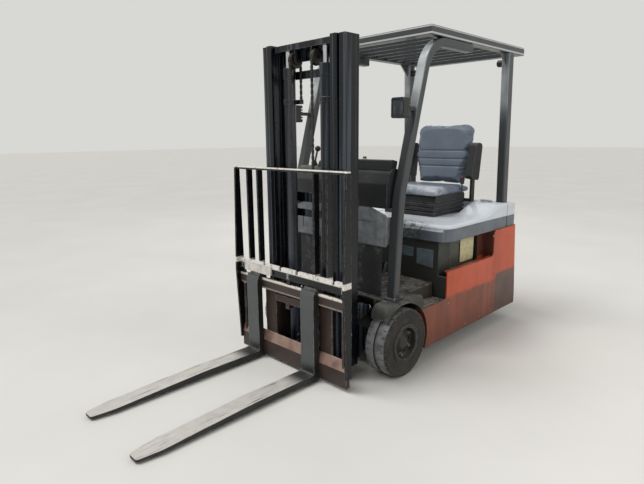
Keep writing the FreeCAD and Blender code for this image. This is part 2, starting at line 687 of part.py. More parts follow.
def frame():
    """Frame rails, open battery box with its posts, outriggers and tilt cylinder anchors."""
    rail_z = (RAIL_BOTTOM, FLOOR_UNDER)
    rail = block(RAIL_X, (RAIL_FRONT_Y, BAY_FRONT_Y), rail_z)
    rail = rail.cut(cross_bar(AXLE_TUBE_R + SEAT_GAP, (RAIL_X[0] - 1, RAIL_X[1] + 1), 0, AXLE_Z))
    window_y = (BAY_FRONT_Y - 312, BAY_FRONT_Y - 62)
    window_z = (RAIL_BOTTOM + 70, FLOOR_UNDER - 62)
    window = slab([(y, z, 25) for y, z in (
        (window_y[0], window_z[0]),
        (window_y[1], window_z[0]),
        (window_y[1], window_z[1]),
        (window_y[0], window_z[1]),
    )], "yz", (RAIL_X[0] - 1, RAIL_X[1] + 1))
    rail = rail.cut(window)
    flange_x = (RAIL_X[1] - 1, RAIL_X[1] + RAIL_FLANGE)
    flange = block(flange_x, (ARCH_R, BAY_FRONT_Y), (RAIL_BOTTOM, RAIL_BOTTOM + RAIL_THICK))
    bay = block((-BAY_HALF, BAY_HALF), (BAY_FRONT_Y, BAY_REAR_Y), (BAY_FLOOR_Z - BAY_PLATE, BAY_TOP))
    hollow = block((-BAY_HALF + BAY_PLATE, BAY_HALF - BAY_PLATE),
                   (BAY_FRONT_Y + BAY_PLATE, BAY_REAR_Y - BAY_PLATE), (BAY_FLOOR_Z, BAY_TOP + 1))
    window_span = (WINDOW_FRONT_Y, BAY_REAR_Y - BAY_PLATE)
    side_window = slab([(y, z, 20) for y, z in (
        (window_span[0], PANEL_TOP - 20),
        (window_span[1], PANEL_TOP - 20),
        (window_span[1], BAY_TOP - BAY_RAIL),
        (window_span[0], BAY_TOP - BAY_RAIL),
    )], "yz", (-BAY_HALF - 1, BAY_HALF + 1))
    bay = bay.cut(hollow).cut(side_window)
    outrigger_x = (BAY_HALF, BODY_HALF - SKIN)
    outrigger_z = (SKIRT_BOTTOM + 60, PANEL_TOP - 40)
    outrigger = block(outrigger_x, (BAY_REAR_Y - 60, BAY_REAR_Y), outrigger_z)
    front_outrigger = block(outrigger_x, (BAY_FRONT_Y, BAY_FRONT_Y + 12), outrigger_z)
    pin_y, pin_z = TILT_REAR_PIN
    ears = [slab([
        (BAY_FRONT_Y, pin_z - 60),
        (pin_y - TILT_EYE_R, pin_z - TILT_EYE_R, TILT_EYE_R),
        (pin_y - TILT_EYE_R, pin_z + TILT_EYE_R, TILT_EYE_R),
        (BAY_FRONT_Y, pin_z + 60),
    ], "yz", span) for span in TILT_EAR_X]
    pin = cross_bar(TILT_PIN_R, (TILT_EAR_X[0][0], TILT_EAR_X[1][1]), pin_y, pin_z)
    half = [rail, flange, outrigger, front_outrigger, pin] + ears
    tie = block((-RAIL_X[0], RAIL_X[0]), FRAME_TIE_Y, (RAIL_BOTTOM, RAIL_BOTTOM + 180))
    return joined([bay, tie] + half + [mirrored(piece) for piece in half])


def battery():
    """Traction battery, one closed steel case with a lip round its top."""
    half = BAY_HALF - BAY_PLATE - BATTERY_GAP
    y_span = (BAY_FRONT_Y + BAY_PLATE + BATTERY_GAP, BAY_REAR_Y - BAY_PLATE - BATTERY_GAP)
    case = block((-half + 4, half - 4), (y_span[0] + 4, y_span[1] - 4), (BAY_FLOOR_Z, BATTERY_TOP - 20))
    lip = block((-half, half), y_span, (BATTERY_TOP - 30, BATTERY_TOP))
    return joined([case, lip])


def front_axle():
    """Drive axle: two flanged motor cans, tapered necks, hub carriers and the mast's clevis ears."""
    inner_face = FRONT_WHEEL_X - FRONT_TYRE_WIDTH / 2 + HUB_BACK_INSET - RUNNING_GAP
    stub_end = FRONT_WHEEL_X + FRONT_TYRE_WIDTH / 2 - HUB_FACE_INSET - RUNNING_GAP
    flange_x = (MOTOR_INNER_X + 70, MOTOR_INNER_X + 70 + MOTOR_FLANGE_THICK)
    profile = [
        (0, 0),
        (0, MOTOR_R - 14),
        (MOTOR_INNER_X, MOTOR_R - 14),
        (MOTOR_INNER_X + 6, MOTOR_R),
        (flange_x[0], MOTOR_R),
        (flange_x[0], MOTOR_R + 8),
        (flange_x[1], MOTOR_R + 8),
        (flange_x[1], MOTOR_R),
        (MOTOR_END_X - 12, MOTOR_R),
        (MOTOR_END_X, MOTOR_R - 16),
        (NECK_END_X, AXLE_TUBE_R),
        (RAIL_X[1] + 4, AXLE_TUBE_R),
        (RAIL_X[1] + 4, HUB_CARRIER_R),
        (inner_face, HUB_CARRIER_R),
        (inner_face, STUB_R),
        (stub_end, STUB_R),
        (stub_end, 0),
    ]
    half_axle = turned(profile, 0, 0, AXLE_Z)
    ears = []
    for span in PIVOT_EAR_X:
        ear = slab([
            (AXLE_TUBE_R, AXLE_Z + AXLE_TUBE_R, AXLE_TUBE_R),
            (AXLE_TUBE_R, AXLE_Z - AXLE_TUBE_R, AXLE_TUBE_R),
            (MAST_PIVOT_Y - PIVOT_EYE_R, MAST_PIVOT_Z - PIVOT_EYE_R, PIVOT_EYE_R - 1),
            (MAST_PIVOT_Y - PIVOT_EYE_R, MAST_PIVOT_Z + PIVOT_EYE_R, PIVOT_EYE_R - 1),
        ], "yz", span)
        ears.append(ear)
    pin = cross_bar(MAST_PIVOT_R, (PIVOT_EAR_X[0][0], PIVOT_EAR_X[1][1]), MAST_PIVOT_Y, MAST_PIVOT_Z)
    side = [half_axle, pin] + ears
    return joined(side + [mirrored(piece) for piece in side])


def tail_plan(rear_y, corner):
    """Plan view of the counterweight with round rear corners."""
    return [
        (-BODY_HALF, TAIL_FRONT_Y),
        (BODY_HALF, TAIL_FRONT_Y),
        (BODY_HALF, rear_y, corner),
        (-BODY_HALF, rear_y, corner),
    ]


def counterweight():
    """Cast tail that draws in towards its top, with the steered wheels' well and the tow niche."""
    low_plan = outline(tail_plan(TAIL_REACH, TAIL_LOW_CORNER_R), "xy")
    high_plan = outline(tail_plan(TAIL_TOP_REAR_Y, TAIL_TOP_CORNER_R), "xy")
    low_plan.translate(Vector(0, 0, TAIL_WAIST_Z))
    high_plan.translate(Vector(0, 0, BODY_TOP))
    upper = Part.makeLoft([low_plan, high_plan], True, True)
    lower = slab(tail_plan(TAIL_REACH, TAIL_LOW_CORNER_R), "xy", (SKIRT_BOTTOM, TAIL_WAIST_Z))
    bevel = slab([
        (TAIL_REACH - TAIL_BEVEL, SKIRT_BOTTOM - 1),
        (TAIL_REACH + 1, SKIRT_BOTTOM - 1),
        (TAIL_REACH + 1, TAIL_WAIST_Z),
        (TAIL_REACH, TAIL_WAIST_Z),
    ], "yz", (-BODY_HALF - 1, BODY_HALF + 1))
    well = round_bar(STEER_WELL_R, Vector(0, REAR_AXLE_Y, 0), Vector(0, REAR_AXLE_Y, STEER_WELL_TOP))
    bearing = round_bar(KINGPIN_R + SEAT_GAP, Vector(0, REAR_AXLE_Y, 0),
                        Vector(0, REAR_AXLE_Y, STEER_WELL_TOP + KINGPIN_LENGTH + RUNNING_GAP))
    niche = slab([
        (-TOW_NICHE_HALF, TOW_NICHE_Z[0], 12),
        (TOW_NICHE_HALF, TOW_NICHE_Z[0], 12),
        (TOW_NICHE_HALF, TOW_NICHE_Z[1], 24),
        (-TOW_NICHE_HALF, TOW_NICHE_Z[1], 24),
    ], "xz", (TOW_NICHE_FRONT_Y, TAIL_REACH + 1))
    drop = block((-PIN_DROP_HALF, PIN_DROP_HALF), PIN_DROP_Y, (STEER_WELL_TOP - 1, TOW_NICHE_Z[0] + 1))
    tongue = block((-TAIL_TONGUE_HALF, TAIL_TONGUE_HALF), (BAY_REAR_Y, TAIL_FRONT_Y + 1), TAIL_TONGUE_Z)
    body = joined([upper, lower, tongue]).cut(bevel).cut(well).cut(bearing).cut(niche).cut(drop)
    ears = [slab([
        (-TOW_NICHE_HALF - 2, TOW_NICHE_FRONT_Y - 5),
        (TOW_NICHE_HALF + 2, TOW_NICHE_FRONT_Y - 5),
        (TOW_NICHE_HALF + 2, TOW_EAR_REAR_Y, 28),
        (-TOW_NICHE_HALF - 2, TOW_EAR_REAR_Y, 28),
    ], "xy", span) for span in TOW_EAR_Z]
    pin_hole = round_bar(TOW_PIN_R, Vector(0, TOW_PIN_Y, TOW_NICHE_Z[0] + 1), Vector(0, TOW_PIN_Y, TOW_NICHE_Z[1] - 1))
    pin_way = round_bar(TOW_PIN_WAY_R, Vector(0, TOW_PIN_Y, TOW_NICHE_Z[1] - 1), Vector(0, TOW_PIN_Y, BODY_TOP + 1))
    return joined([body] + ears).cut(pin_hole).cut(pin_way)


def hood_side(inset):
    """Side view of the hood with its rising shoulders, drawn in by an inset."""
    return [
        (HOOD_FRONT_Y + inset, BODY_JOIN),
        (HOOD_FRONT_Y + inset, HOOD_TOP - inset),
        (SHOULDER_START_Y, HOOD_TOP - inset, 300),
        (SHOULDER_END_Y, SHOULDER_TOP - inset, 200),
        (HOOD_REAR_Y - inset, SHOULDER_TOP - inset),
        (HOOD_REAR_Y - inset, BODY_JOIN),
    ]


def hood_plan(inset, rear_y):
    """Plan view of the hood with round front corners, drawn in by an inset."""
    half = HOOD_HALF - inset
    return [
        (-half, HOOD_FRONT_Y + inset, HOOD_CORNER_R - inset),
        (half, HOOD_FRONT_Y + inset, HOOD_CORNER_R - inset),
        (half, rear_y),
        (-half, rear_y),
    ]


def band_groove(plan_outer, plan_inner, y_span):
    """Shallow groove round a moulding, along the top of its side band."""
    ring = slab(plan_outer, "xy", BAND_GROOVE_Z).cut(slab(plan_inner, "xy", BAND_GROOVE_Z))
    return ring.common(block((-BODY_HALF, BODY_HALF), y_span, BAND_GROOVE_Z))


def hood():
    """Battery hood: a hollow lid with a flat seat well, rounded shoulders and a grooved side band."""
    outer = slab(hood_side(0), "yz", (-HOOD_HALF, HOOD_HALF))
    outer = outer.common(slab(hood_plan(0, HOOD_REAR_Y), "xy", (0, SHOULDER_TOP + 1)))
    outer = outer.makeFillet(HOOD_EDGE_R, [edge for edge in outer.Edges if is_hood_rim(edge)])
    well = slab([(x, y, 40) for x, y in (
        (-SEAT_WELL_HALF, SEAT_BASE_Y[0] - 120),
        (SEAT_WELL_HALF, SEAT_BASE_Y[0] - 120),
        (SEAT_WELL_HALF, HOOD_REAR_Y + 60),
        (-SEAT_WELL_HALF, HOOD_REAR_Y + 60),
    )], "xy", (HOOD_TOP - 2, SHOULDER_TOP + 1))
    outer = outer.cut(well)
    inner_plan = slab(hood_plan(HOOD_SHELL, HOOD_REAR_Y - HOOD_SHELL), "xy", (0, SHOULDER_TOP + 1))
    low = block((-HOOD_HALF, HOOD_HALF), (0, HOOD_REAR_Y), (BODY_JOIN - 1, HOOD_TOP - 2 - HOOD_SHELL)).common(inner_plan)
    high = slab(hood_side(HOOD_SHELL + 4), "yz", (SEAT_WELL_HALF + HOOD_SHELL, HOOD_HALF)).common(inner_plan)
    shell = outer.cut(low).cut(high).cut(mirrored(high))
    groove = band_groove(hood_plan(-1, HOOD_REAR_Y + 1), hood_plan(BAND_GROOVE_DEEP, HOOD_REAR_Y + 1),
                         (HOOD_FRONT_Y - 1, HOOD_REAR_Y + 1))
    latch = slab([(x, z, 10) for x, z in (
        (-LATCH_HALF, LATCH_Z[0]),
        (LATCH_HALF, LATCH_Z[0]),
        (LATCH_HALF, LATCH_Z[1]),
        (-LATCH_HALF, LATCH_Z[1]),
    )], "xz", (HOOD_FRONT_Y - 1, HOOD_FRONT_Y + LATCH_DEEP))
    shell = shell.cut(groove).cut(latch)
    knuckle = hinge_knuckle(HINGE_KNUCKLES[1], -36)
    bore = cross_bar(HINGE_PIN_R + SEAT_GAP, HINGE_KNUCKLES[1], HINGE_Y, HINGE_Z)
    return joined([shell, both_apart(knuckle)]).cut(both_apart(bore))


def is_hood_rim(edge):
    """True for the hood's upper edges, round its front and along its flanks."""
    box = edge.BoundBox
    high = box.ZMin > HOOD_TOP - 1e-3 and box.YMin < HOOD_REAR_Y - 1e-3
    seam = box.YLength < 1e-3 and box.YMin > HOOD_FRONT_Y + 1e-3
    return high and not seam and box.XLength < 2 * HOOD_HALF - 1


def hinge_knuckle(span, reach):
    """One knuckle of the hood's hinge with its leaf, which reaches forward or rearward."""
    leaf_y = sorted((HINGE_Y, HINGE_Y + reach))
    leaf = block(span, leaf_y, (SHOULDER_TOP - 0.5, SHOULDER_TOP + HINGE_LEAF))
    return joined([cross_bar(HINGE_R, span, HINGE_Y, HINGE_Z), leaf])


def both_apart(shape):
    """A shape and its mirror image as one group of separate solids."""
    return Part.makeCompound([shape, mirrored(shape)])


def tail_cover():
    """Moulded cover on the counterweight, notched for the guard's pillars and the tow pin."""
    start = HOOD_REAR_Y + COVER_GAP
    side = slab([
        (start, BODY_JOIN),
        (start, SHOULDER_TOP, 8),
        (COVER_REAR_Y - 60, SHOULDER_TOP - 8, 50),
        (COVER_REAR_Y, COVER_BACK_TOP, 20),
        (COVER_REAR_Y, BODY_JOIN),
    ], "yz", (-HOOD_HALF, HOOD_HALF))
    section = slab([
        (-HOOD_HALF, BODY_JOIN),
        (HOOD_HALF, BODY_JOIN),
        (HOOD_HALF, SHOULDER_TOP, HOOD_EDGE_R),
        (-HOOD_HALF, SHOULDER_TOP, HOOD_EDGE_R),
    ], "xz", (start, COVER_REAR_Y))
    plan = slab(cover_plan(0), "xy", (0, SHOULDER_TOP + 1))
    notch = slab(bent_strip([
        (REAR_PILLAR_FOOT_Y, BODY_TOP - 1, 0),
        (rear_pillar_y(SHOULDER_TOP + 10), SHOULDER_TOP + 10, 0),
    ], REAR_PILLAR_DEEP + 4), "yz", (GUARD_HALF - PILLAR_WIDE - 2, GUARD_HALF + 2))
    pin_notch = slab([
        (-PIN_NOTCH_HALF, PIN_NOTCH_FRONT_Y, 20),
        (PIN_NOTCH_HALF, PIN_NOTCH_FRONT_Y, 20),
        (PIN_NOTCH_HALF, TAIL_REACH + 1),
        (-PIN_NOTCH_HALF, TAIL_REACH + 1),
    ], "xy", (BODY_TOP - 1, SHOULDER_TOP + 1))
    groove = band_groove(cover_plan(-1), cover_plan(BAND_GROOVE_DEEP), (start + 2, TAIL_REACH))
    cover = side.common(section).common(plan).cut(notch).cut(mirrored(notch)).cut(pin_notch).cut(groove)
    outer_span = (HINGE_KNUCKLES[0][0], HINGE_KNUCKLES[2][1])
    pin = cross_bar(HINGE_PIN_R, outer_span, HINGE_Y, HINGE_Z)
    knuckles = [hinge_knuckle(HINGE_KNUCKLES[0], 30), hinge_knuckle(HINGE_KNUCKLES[2], 30), pin]
    hinge = joined(knuckles)
    return joined([cover, hinge, mirrored(hinge)])


def cover_plan(inset):
    """Plan view of the tail cover with round rear corners, drawn in by an inset."""
    half = HOOD_HALF - inset
    rear = COVER_REAR_Y - inset
    corner = TAIL_TOP_CORNER_R - HOOD_INSET - inset
    return [
        (-half, HOOD_REAR_Y + COVER_GAP),
        (half, HOOD_REAR_Y + COVER_GAP),
        (half, rear, corner),
        (-half, rear, corner),
    ]


def rear_pillar_y(height):
    """Centre of the leaning rear pillar at a height."""
    share = (height - BODY_TOP) / (ROOF_BOTTOM - BODY_TOP)
    return REAR_PILLAR_FOOT_Y + share * (REAR_PILLAR_HEAD_Y - REAR_PILLAR_FOOT_Y)


def rounded_along(shape, radius, is_long):
    """A bar with its long edges rounded, where is_long picks them."""
    return shape.makeFillet(radius, [edge for edge in shape.Edges if is_long(edge)])


def guard_front_pillars():
    """Front pillars of the overhead guard: round-edged tubes bent over under the roof's beams."""
    path = [
        (FRONT_PILLAR_FOOT_Y, FLOOR_TOP - 20, 0),
        (FRONT_PILLAR_KNEE[0], FRONT_PILLAR_KNEE[1], 500),
        (FRONT_PILLAR_CROWN_Y, LEG_Z, 210),
        (FRONT_PILLAR_LEG_END_Y, LEG_Z, 0),
    ]
    pillar = slab(bent_strip(path, FRONT_PILLAR_DEEP), "yz", (GUARD_HALF - PILLAR_WIDE, GUARD_HALF))
    pillar = rounded_along(pillar, PILLAR_EDGE_R, lambda edge: edge.BoundBox.XLength < 1e-3 and edge.Length > 60)
    pillar = pillar.cut(block((0, GUARD_HALF + 1), (-200, 400), (FLOOR_TOP - 100, FLOOR_TOP)))
    foot = slab([(x, y, 10) for x, y in (
        (GUARD_HALF - PILLAR_WIDE - 8, FRONT_PILLAR_FOOT_Y - 46),
        (GUARD_HALF + 14, FRONT_PILLAR_FOOT_Y - 46),
        (GUARD_HALF + 14, FRONT_PILLAR_FOOT_Y + 50),
        (GUARD_HALF - PILLAR_WIDE - 8, FRONT_PILLAR_FOOT_Y + 50),
    )], "xy", (FLOOR_TOP, FLOOR_TOP + FOOT_THICK))
    pillar = joined([pillar, foot])
    return [pillar, mirrored(pillar)]


def guard_rear_pillars():
    """Rear pillars of the overhead guard: round-edged tubes with gussets under the roof."""
    half = REAR_PILLAR_DEEP / 2
    pillar = slab([
        (REAR_PILLAR_FOOT_Y - half, BODY_TOP),
        (REAR_PILLAR_FOOT_Y + half, BODY_TOP),
        (REAR_PILLAR_HEAD_Y + half, ROOF_BOTTOM),
        (REAR_PILLAR_HEAD_Y - half, ROOF_BOTTOM),
    ], "yz", (GUARD_HALF - PILLAR_WIDE, GUARD_HALF))
    pillar = rounded_along(pillar, PILLAR_EDGE_R, lambda edge: edge.BoundBox.ZLength > 500)
    gusset = slab([
        (REAR_PILLAR_HEAD_Y - half + 6, ROOF_BOTTOM),
        (REAR_PILLAR_HEAD_Y - half - GUSSET_LONG, ROOF_BOTTOM),
        (REAR_PILLAR_HEAD_Y - half + 6, ROOF_BOTTOM - GUSSET_LONG),
    ], "yz", (GUARD_HALF - PILLAR_WIDE / 2 - 5, GUARD_HALF - PILLAR_WIDE / 2 + 5))
    pillar = joined([pillar, gusset])
    return [pillar, mirrored(pillar)]


def guard_roof():
    """Roof of the guard: side beams, front and rear beams, and cross bars set on edge."""
    inner = GUARD_HALF - ROOF_BEAM_WIDE
    side = block((inner, GUARD_HALF), (ROOF_FRONT_Y, ROOF_REAR_Y), (ROOF_BOTTOM, ROOF_TOP))
    front = block((-inner, inner), (ROOF_FRONT_Y, ROOF_FRONT_Y + ROOF_BEAM_WIDE), (ROOF_BOTTOM, ROOF_TOP))
    rear = block((-inner, inner), (ROOF_REAR_Y - ROOF_BEAM_WIDE, ROOF_REAR_Y), (ROOF_BOTTOM, ROOF_TOP))
    first = ROOF_FRONT_Y + ROOF_BEAM_WIDE
    pitch = (ROOF_REAR_Y - ROOF_BEAM_WIDE - first) / (ROOF_BARS + 1)
    bars = []
    for index in range(ROOF_BARS):
        centre = first + pitch * (index + 1)
        bars.append(block((-inner, inner), (centre - ROOF_BAR_THICK / 2, centre + ROOF_BAR_THICK / 2),
                          (ROOF_BOTTOM + 8, ROOF_TOP)))
    roof = joined([side, mirrored(side), front, rear] + bars)
    edges = [edge for edge in roof.Edges if is_outer_top_edge(edge)]
    return roof.makeFillet(12, edges)


def is_outer_top_edge(edge):
    """True for the upper outside edges of the roof, which are rounded."""
    low = edge.BoundBox
    if low.ZMin < ROOF_TOP - 1e-3:
        return False
    at_side = min(abs(low.XMin), abs(low.XMax)) > GUARD_HALF - 1e-3 and low.YLength > 1
    at_end = low.XLength > 1 and (low.YMax < ROOF_FRONT_Y + 1e-3 or low.YMin > ROOF_REAR_Y - 1e-3)
    return at_side or at_end


def headlamps():
    """Two square work lamps with a sunk lens face and cooling fins, on brackets at the pillars."""
    front, rear = LAMP_Y
    case = slab([(x, z, 12) for x, z in (
        (LAMP_X - LAMP_HALF_WIDE, LAMP_Z[0]),
        (LAMP_X + LAMP_HALF_WIDE, LAMP_Z[0]),
        (LAMP_X + LAMP_HALF_WIDE, LAMP_Z[1]),
        (LAMP_X - LAMP_HALF_WIDE, LAMP_Z[1]),
    )], "xz", (front, rear))
    rim = LAMP_RIM
    lens_room = slab([(x, z, 6) for x, z in (
        (LAMP_X - LAMP_HALF_WIDE + rim, LAMP_Z[0] + rim),
        (LAMP_X + LAMP_HALF_WIDE - rim, LAMP_Z[0] + rim),
        (LAMP_X + LAMP_HALF_WIDE - rim, LAMP_Z[1] - rim),
        (LAMP_X - LAMP_HALF_WIDE + rim, LAMP_Z[1] - rim),
    )], "xz", (front - 1, front + rim))
    case = case.cut(lens_room)
    middle = (LAMP_Z[0] + LAMP_Z[1]) / 2
    for index in (-2, -1, 1, 2):
        height = middle + index * LAMP_FIN_PITCH
        case = case.cut(block((0, LAMP_X + LAMP_HALF_WIDE + 1), (rear - 14, rear + 1), (height - 3, height + 3)))
    reach = pillar_front_y(middle - 10)
    bracket = block((LAMP_X - 25, LAMP_X + 10), (rear - 1, reach), (middle - 10, middle + 10))
    lamp = joined([case, bracket])
    return [lamp, mirrored(lamp)]


def pillar_front_y(height):
    """Front face of the front pillar's straight upper run at a height."""
    knee_y, knee_z = FRONT_PILLAR_KNEE
    rise = LEG_Z - knee_z
    run = FRONT_PILLAR_CROWN_Y - knee_y
    slant = math.hypot(rise, run)
    centre = knee_y + run * (height - knee_z) / rise
    return centre - FRONT_PILLAR_DEEP / 2 * slant / rise - SEAT_GAP


def rear_lamps():
    """Small tail lamps on the inner side of each rear pillar's head."""
    height = ROOF_BOTTOM - TAIL_LAMP_DROP
    inner_face = GUARD_HALF - PILLAR_WIDE
    lamp = cross_bar(TAIL_LAMP_R, (inner_face - TAIL_LAMP_LONG, inner_face), rear_pillar_y(height), height)
    return [lamp, mirrored(lamp)]


def cowl():
    """Moulded front panel between the pillars, with the firewall below it and side returns."""
    panel = slab([
        (-COWL_HALF, COWL_BOTTOM, 10),
        (COWL_HALF, COWL_BOTTOM, 10),
        (COWL_HALF, COWL_TOP - 40, 25),
        (COWL_HALF - 120, COWL_TOP, 80),
        (-COWL_HALF + 120, COWL_TOP, 80),
        (-COWL_HALF, COWL_TOP - 40, 25),
    ], "xz", COWL_Y)
    swage = slab([(x, z, 20) for x, z in (
        (-COWL_HALF + 70, COWL_BOTTOM + 40),
        (COWL_HALF - 70, COWL_BOTTOM + 40),
        (COWL_HALF - 70, COWL_TOP - 80),
        (-COWL_HALF + 70, COWL_TOP - 80),
    )], "xz", (COWL_Y[0] - 1, COWL_Y[0] + 4))
    firewall = block((-COWL_HALF + 40, COWL_HALF - 40), (COWL_Y[1] - 2, COWL_Y[1] + 6), (FLOOR_TOP, COWL_BOTTOM + 30))
    cheek = slab([
        (COWL_Y[1] - 1, COWL_BOTTOM + 10),
        (DASH_REAR_Y - 32, COWL_BOTTOM + 60, 30),
        (DASH_REAR_Y - 32, COWL_TOP - 60),
        (COWL_Y[1] - 1, COWL_TOP - 50),
    ], "yz", (COWL_HALF - 8, COWL_HALF))
    return joined([panel.cut(swage), firewall, cheek, mirrored(cheek)])


def dash_side(wall):
    """Side view of the dash, drawn in by a wall, with a face that slopes towards the operator."""
    return [
        (COWL_Y[0] + wall, COWL_TOP + SEAT_GAP),
        (COWL_Y[0] + wall, DASH_TOP - 85, 20 - wall / 2),
        (20 + wall / 2, DASH_TOP - wall, 50 - wall),
        (DASH_REAR_Y - 24 - wall / 2, DASH_TOP - wall, 30 - wall),
        (DASH_REAR_Y - wall, DASH_TOP - 75, 20 - wall / 2),
        (DASH_REAR_Y - 10 - wall, COWL_TOP + 28, 20 - wall / 2),
        (60 - wall, COWL_TOP + SEAT_GAP),
    ]


def dashboard():
    """Black dash on top of the cowl, hollow below, with a display pod at its left end."""
    body = slab(dash_side(0), "yz", (-COWL_HALF, COWL_HALF))
    inner = slab(dash_side(DASH_WALL), "yz", (-COWL_HALF + DASH_WALL, COWL_HALF - DASH_WALL))
    pod = slab([
        (18, DASH_TOP - 6),
        (30, DASH_TOP + POD_HIGH, 14),
        (DASH_REAR_Y - 22, DASH_TOP + POD_HIGH - 12, 10),
        (DASH_REAR_Y - 34, DASH_TOP - 6),
    ], "yz", (COWL_HALF - POD_LONG, COWL_HALF - 10))
    return joined([body.cut(inner), pod])


def steering_column():
    """Column shroud with a gaiter on the floor, up to the steering wheel's shaft."""
    foot = Vector(0, COLUMN_FOOT[0], COLUMN_FOOT[1])
    head = Vector(0, COLUMN_HEAD[0], COLUMN_HEAD[1])
    along = head.sub(foot).normalize()

    def spot(distance):
        """Point on the column's line, measured down from its head."""
        return head.sub(Vector(along).multiply(distance))

    low = foot.sub(Vector(along).multiply(30))
    shroud = round_bar(COLUMN_R, low, spot(COLLAR_LONG - 20))
    gaiter = Part.makeCone(COLUMN_R + 34, COLUMN_R, 110, low, along)
    shroud = joined([shroud, gaiter]).cut(block((-200, 200), (-200, 400), (FLOOR_TOP - 200, FLOOR_TOP)))
    collar = round_bar(COLUMN_R * 0.7, spot(COLLAR_LONG), spot(RUNNING_GAP))
    shaft = round_bar(WHEEL_SHAFT_R, spot(COLLAR_LONG + 2), spot(-20))
    return joined([shroud, collar, shaft])


def steering_wheel():
    """Ring with three spokes, a hub on the column's shaft and a spinner knob."""
    ring = Part.makeTorus(WHEEL_RING_R, WHEEL_RING_TUBE_R)
    hub = Part.makeCylinder(36, 34, Vector(0, 0, -26), Vector(0, 0, 1))
    pieces = [ring, hub]
    for turn in (90, 210, 330):
        spoke = block((0, WHEEL_RING_R), (-14, 14), (-6, 2))
        spoke.rotate(Vector(0, 0, 0), Vector(0, 0, 1), turn)
        pieces.append(spoke)
    knob_stem = Part.makeCylinder(7, 34, Vector(0, 0, 0), Vector(0, 0, 1))
    knob = Part.makeSphere(20, Vector(0, 0, 48))
    grip = joined([knob_stem, knob])
    grip.translate(Vector(WHEEL_RING_R * 0.8, WHEEL_RING_R * 0.6, 0))
    pieces.append(grip)
    shaft = Part.makeCylinder(WHEEL_SHAFT_R + SEAT_GAP, 50, Vector(0, 0, -40), Vector(0, 0, 1))
    wheel = joined(pieces).cut(shaft)
    cap = Part.makeCylinder(30, 6, Vector(0, 0, 8), Vector(0, 0, 1))
    wheel = joined([wheel, cap])
    lean = math.degrees(math.atan2(COLUMN_HEAD[0] - COLUMN_FOOT[0], COLUMN_HEAD[1] - COLUMN_FOOT[1]))
    wheel.rotate(Vector(0, 0, 0), Vector(1, 0, 0), -lean)
    along = Vector(0, COLUMN_HEAD[0] - COLUMN_FOOT[0], COLUMN_HEAD[1] - COLUMN_FOOT[1]).normalize()
    wheel.translate(Vector(0, COLUMN_HEAD[0], COLUMN_HEAD[1]).add(along.multiply(26)))
    return wheel


def pedals():
    """Brake and accelerator pedals: ribbed pads on arms that stand on the floor."""
    solids = []
    for centre, wide in PEDAL_ROWS:
        arm = slab([
            (PEDAL_Y, FLOOR_TOP),
            (PEDAL_Y + 30, FLOOR_TOP),
            (PEDAL_Y + 75, FLOOR_TOP + 95),
            (PEDAL_Y + 55, FLOOR_TOP + 102),
        ], "yz", (centre - 8, centre + 8))
        pad = slab([
            (PEDAL_Y + 40, FLOOR_TOP + 70),
            (PEDAL_Y + 64, FLOOR_TOP + 62),
            (PEDAL_Y + 100, FLOOR_TOP + 140),
            (PEDAL_Y + 76, FLOOR_TOP + 148),
        ], "yz", (centre - wide / 2, centre + wide / 2))
        solids.append(joined([arm, pad]))
    return solids


def control_levers():
    """Three hydraulic levers with round knobs, standing on the dash."""
    solids = []
    for index in range(LEVERS):
        centre = LEVER_FIRST_X + index * LEVER_PITCH
        foot = Vector(centre, 52, DASH_TOP + SEAT_GAP)
        knob = Vector(centre, 82, DASH_TOP + 108)
        stem = round_bar(6, foot.add(Vector(0, 0, 12)), knob)
        boot = Part.makeCone(20, 9, 34, foot, Vector(0, 0, 1))
        solids.append(joined([stem, boot, Part.makeSphere(19, knob)]))
    return solids


def seat_base():
    """Suspension box of the seat: drawn in towards its top, with the folds of its bellows."""
    low = SEAT_BASE_Y
    box = slab([
        (low[0], HOOD_TOP - 2),
        (low[1], HOOD_TOP - 2),
        (low[1], SEAT_BASE_TOP, 20),
        (low[0] + 25, SEAT_BASE_TOP, 20),
    ], "yz", (-SEAT_BASE_HALF, SEAT_BASE_HALF))
    for height in BELLOWS_Z:
        core = block((-SEAT_BASE_HALF + 9, SEAT_BASE_HALF - 9), (low[0] + 18, low[1] - 9), (height, height + 12))
        fold = block((-SEAT_BASE_HALF - 1, SEAT_BASE_HALF + 1), (low[0] - 1, low[1] + 1), (height, height + 12))
        box = box.cut(fold.cut(core))
    return box


def seat_cushion():
    """Seat cushion as one plain closed form."""
    return slab([
        (CUSHION_Y[0], SEAT_BASE_TOP, 14),
        (CUSHION_Y[1], SEAT_BASE_TOP, 14),
        (CUSHION_Y[1], CUSHION_TOP - 10, 20),
        (CUSHION_Y[0], CUSHION_TOP, 28),
    ], "yz", (-CUSHION_HALF, CUSHION_HALF))


def seat_back():
    """Backrest as one plain closed form, narrower at its foot and leaning back."""
    front = slab([
        (-BACK_HALF + 60, BACK_BOTTOM, 40),
        (BACK_HALF - 60, BACK_BOTTOM, 40),
        (BACK_HALF, BACK_BOTTOM + 190, 60),
        (BACK_HALF - 14, BACK_TOP, 60),
        (-BACK_HALF + 14, BACK_TOP, 60),
        (-BACK_HALF, BACK_BOTTOM + 190, 60),
    ], "xz", (BACK_FOOT_Y - 10, BACK_HEAD_Y + BACK_THICK + 10))
    side = slab([
        (BACK_FOOT_Y, BACK_BOTTOM),
        (BACK_HEAD_Y, BACK_TOP, 30),
        (BACK_HEAD_Y + BACK_THICK - 20, BACK_TOP, 30),
        (BACK_FOOT_Y + BACK_THICK, BACK_BOTTOM),
    ], "yz", (-BACK_HALF - 1, BACK_HALF + 1))
    return front.common(side)


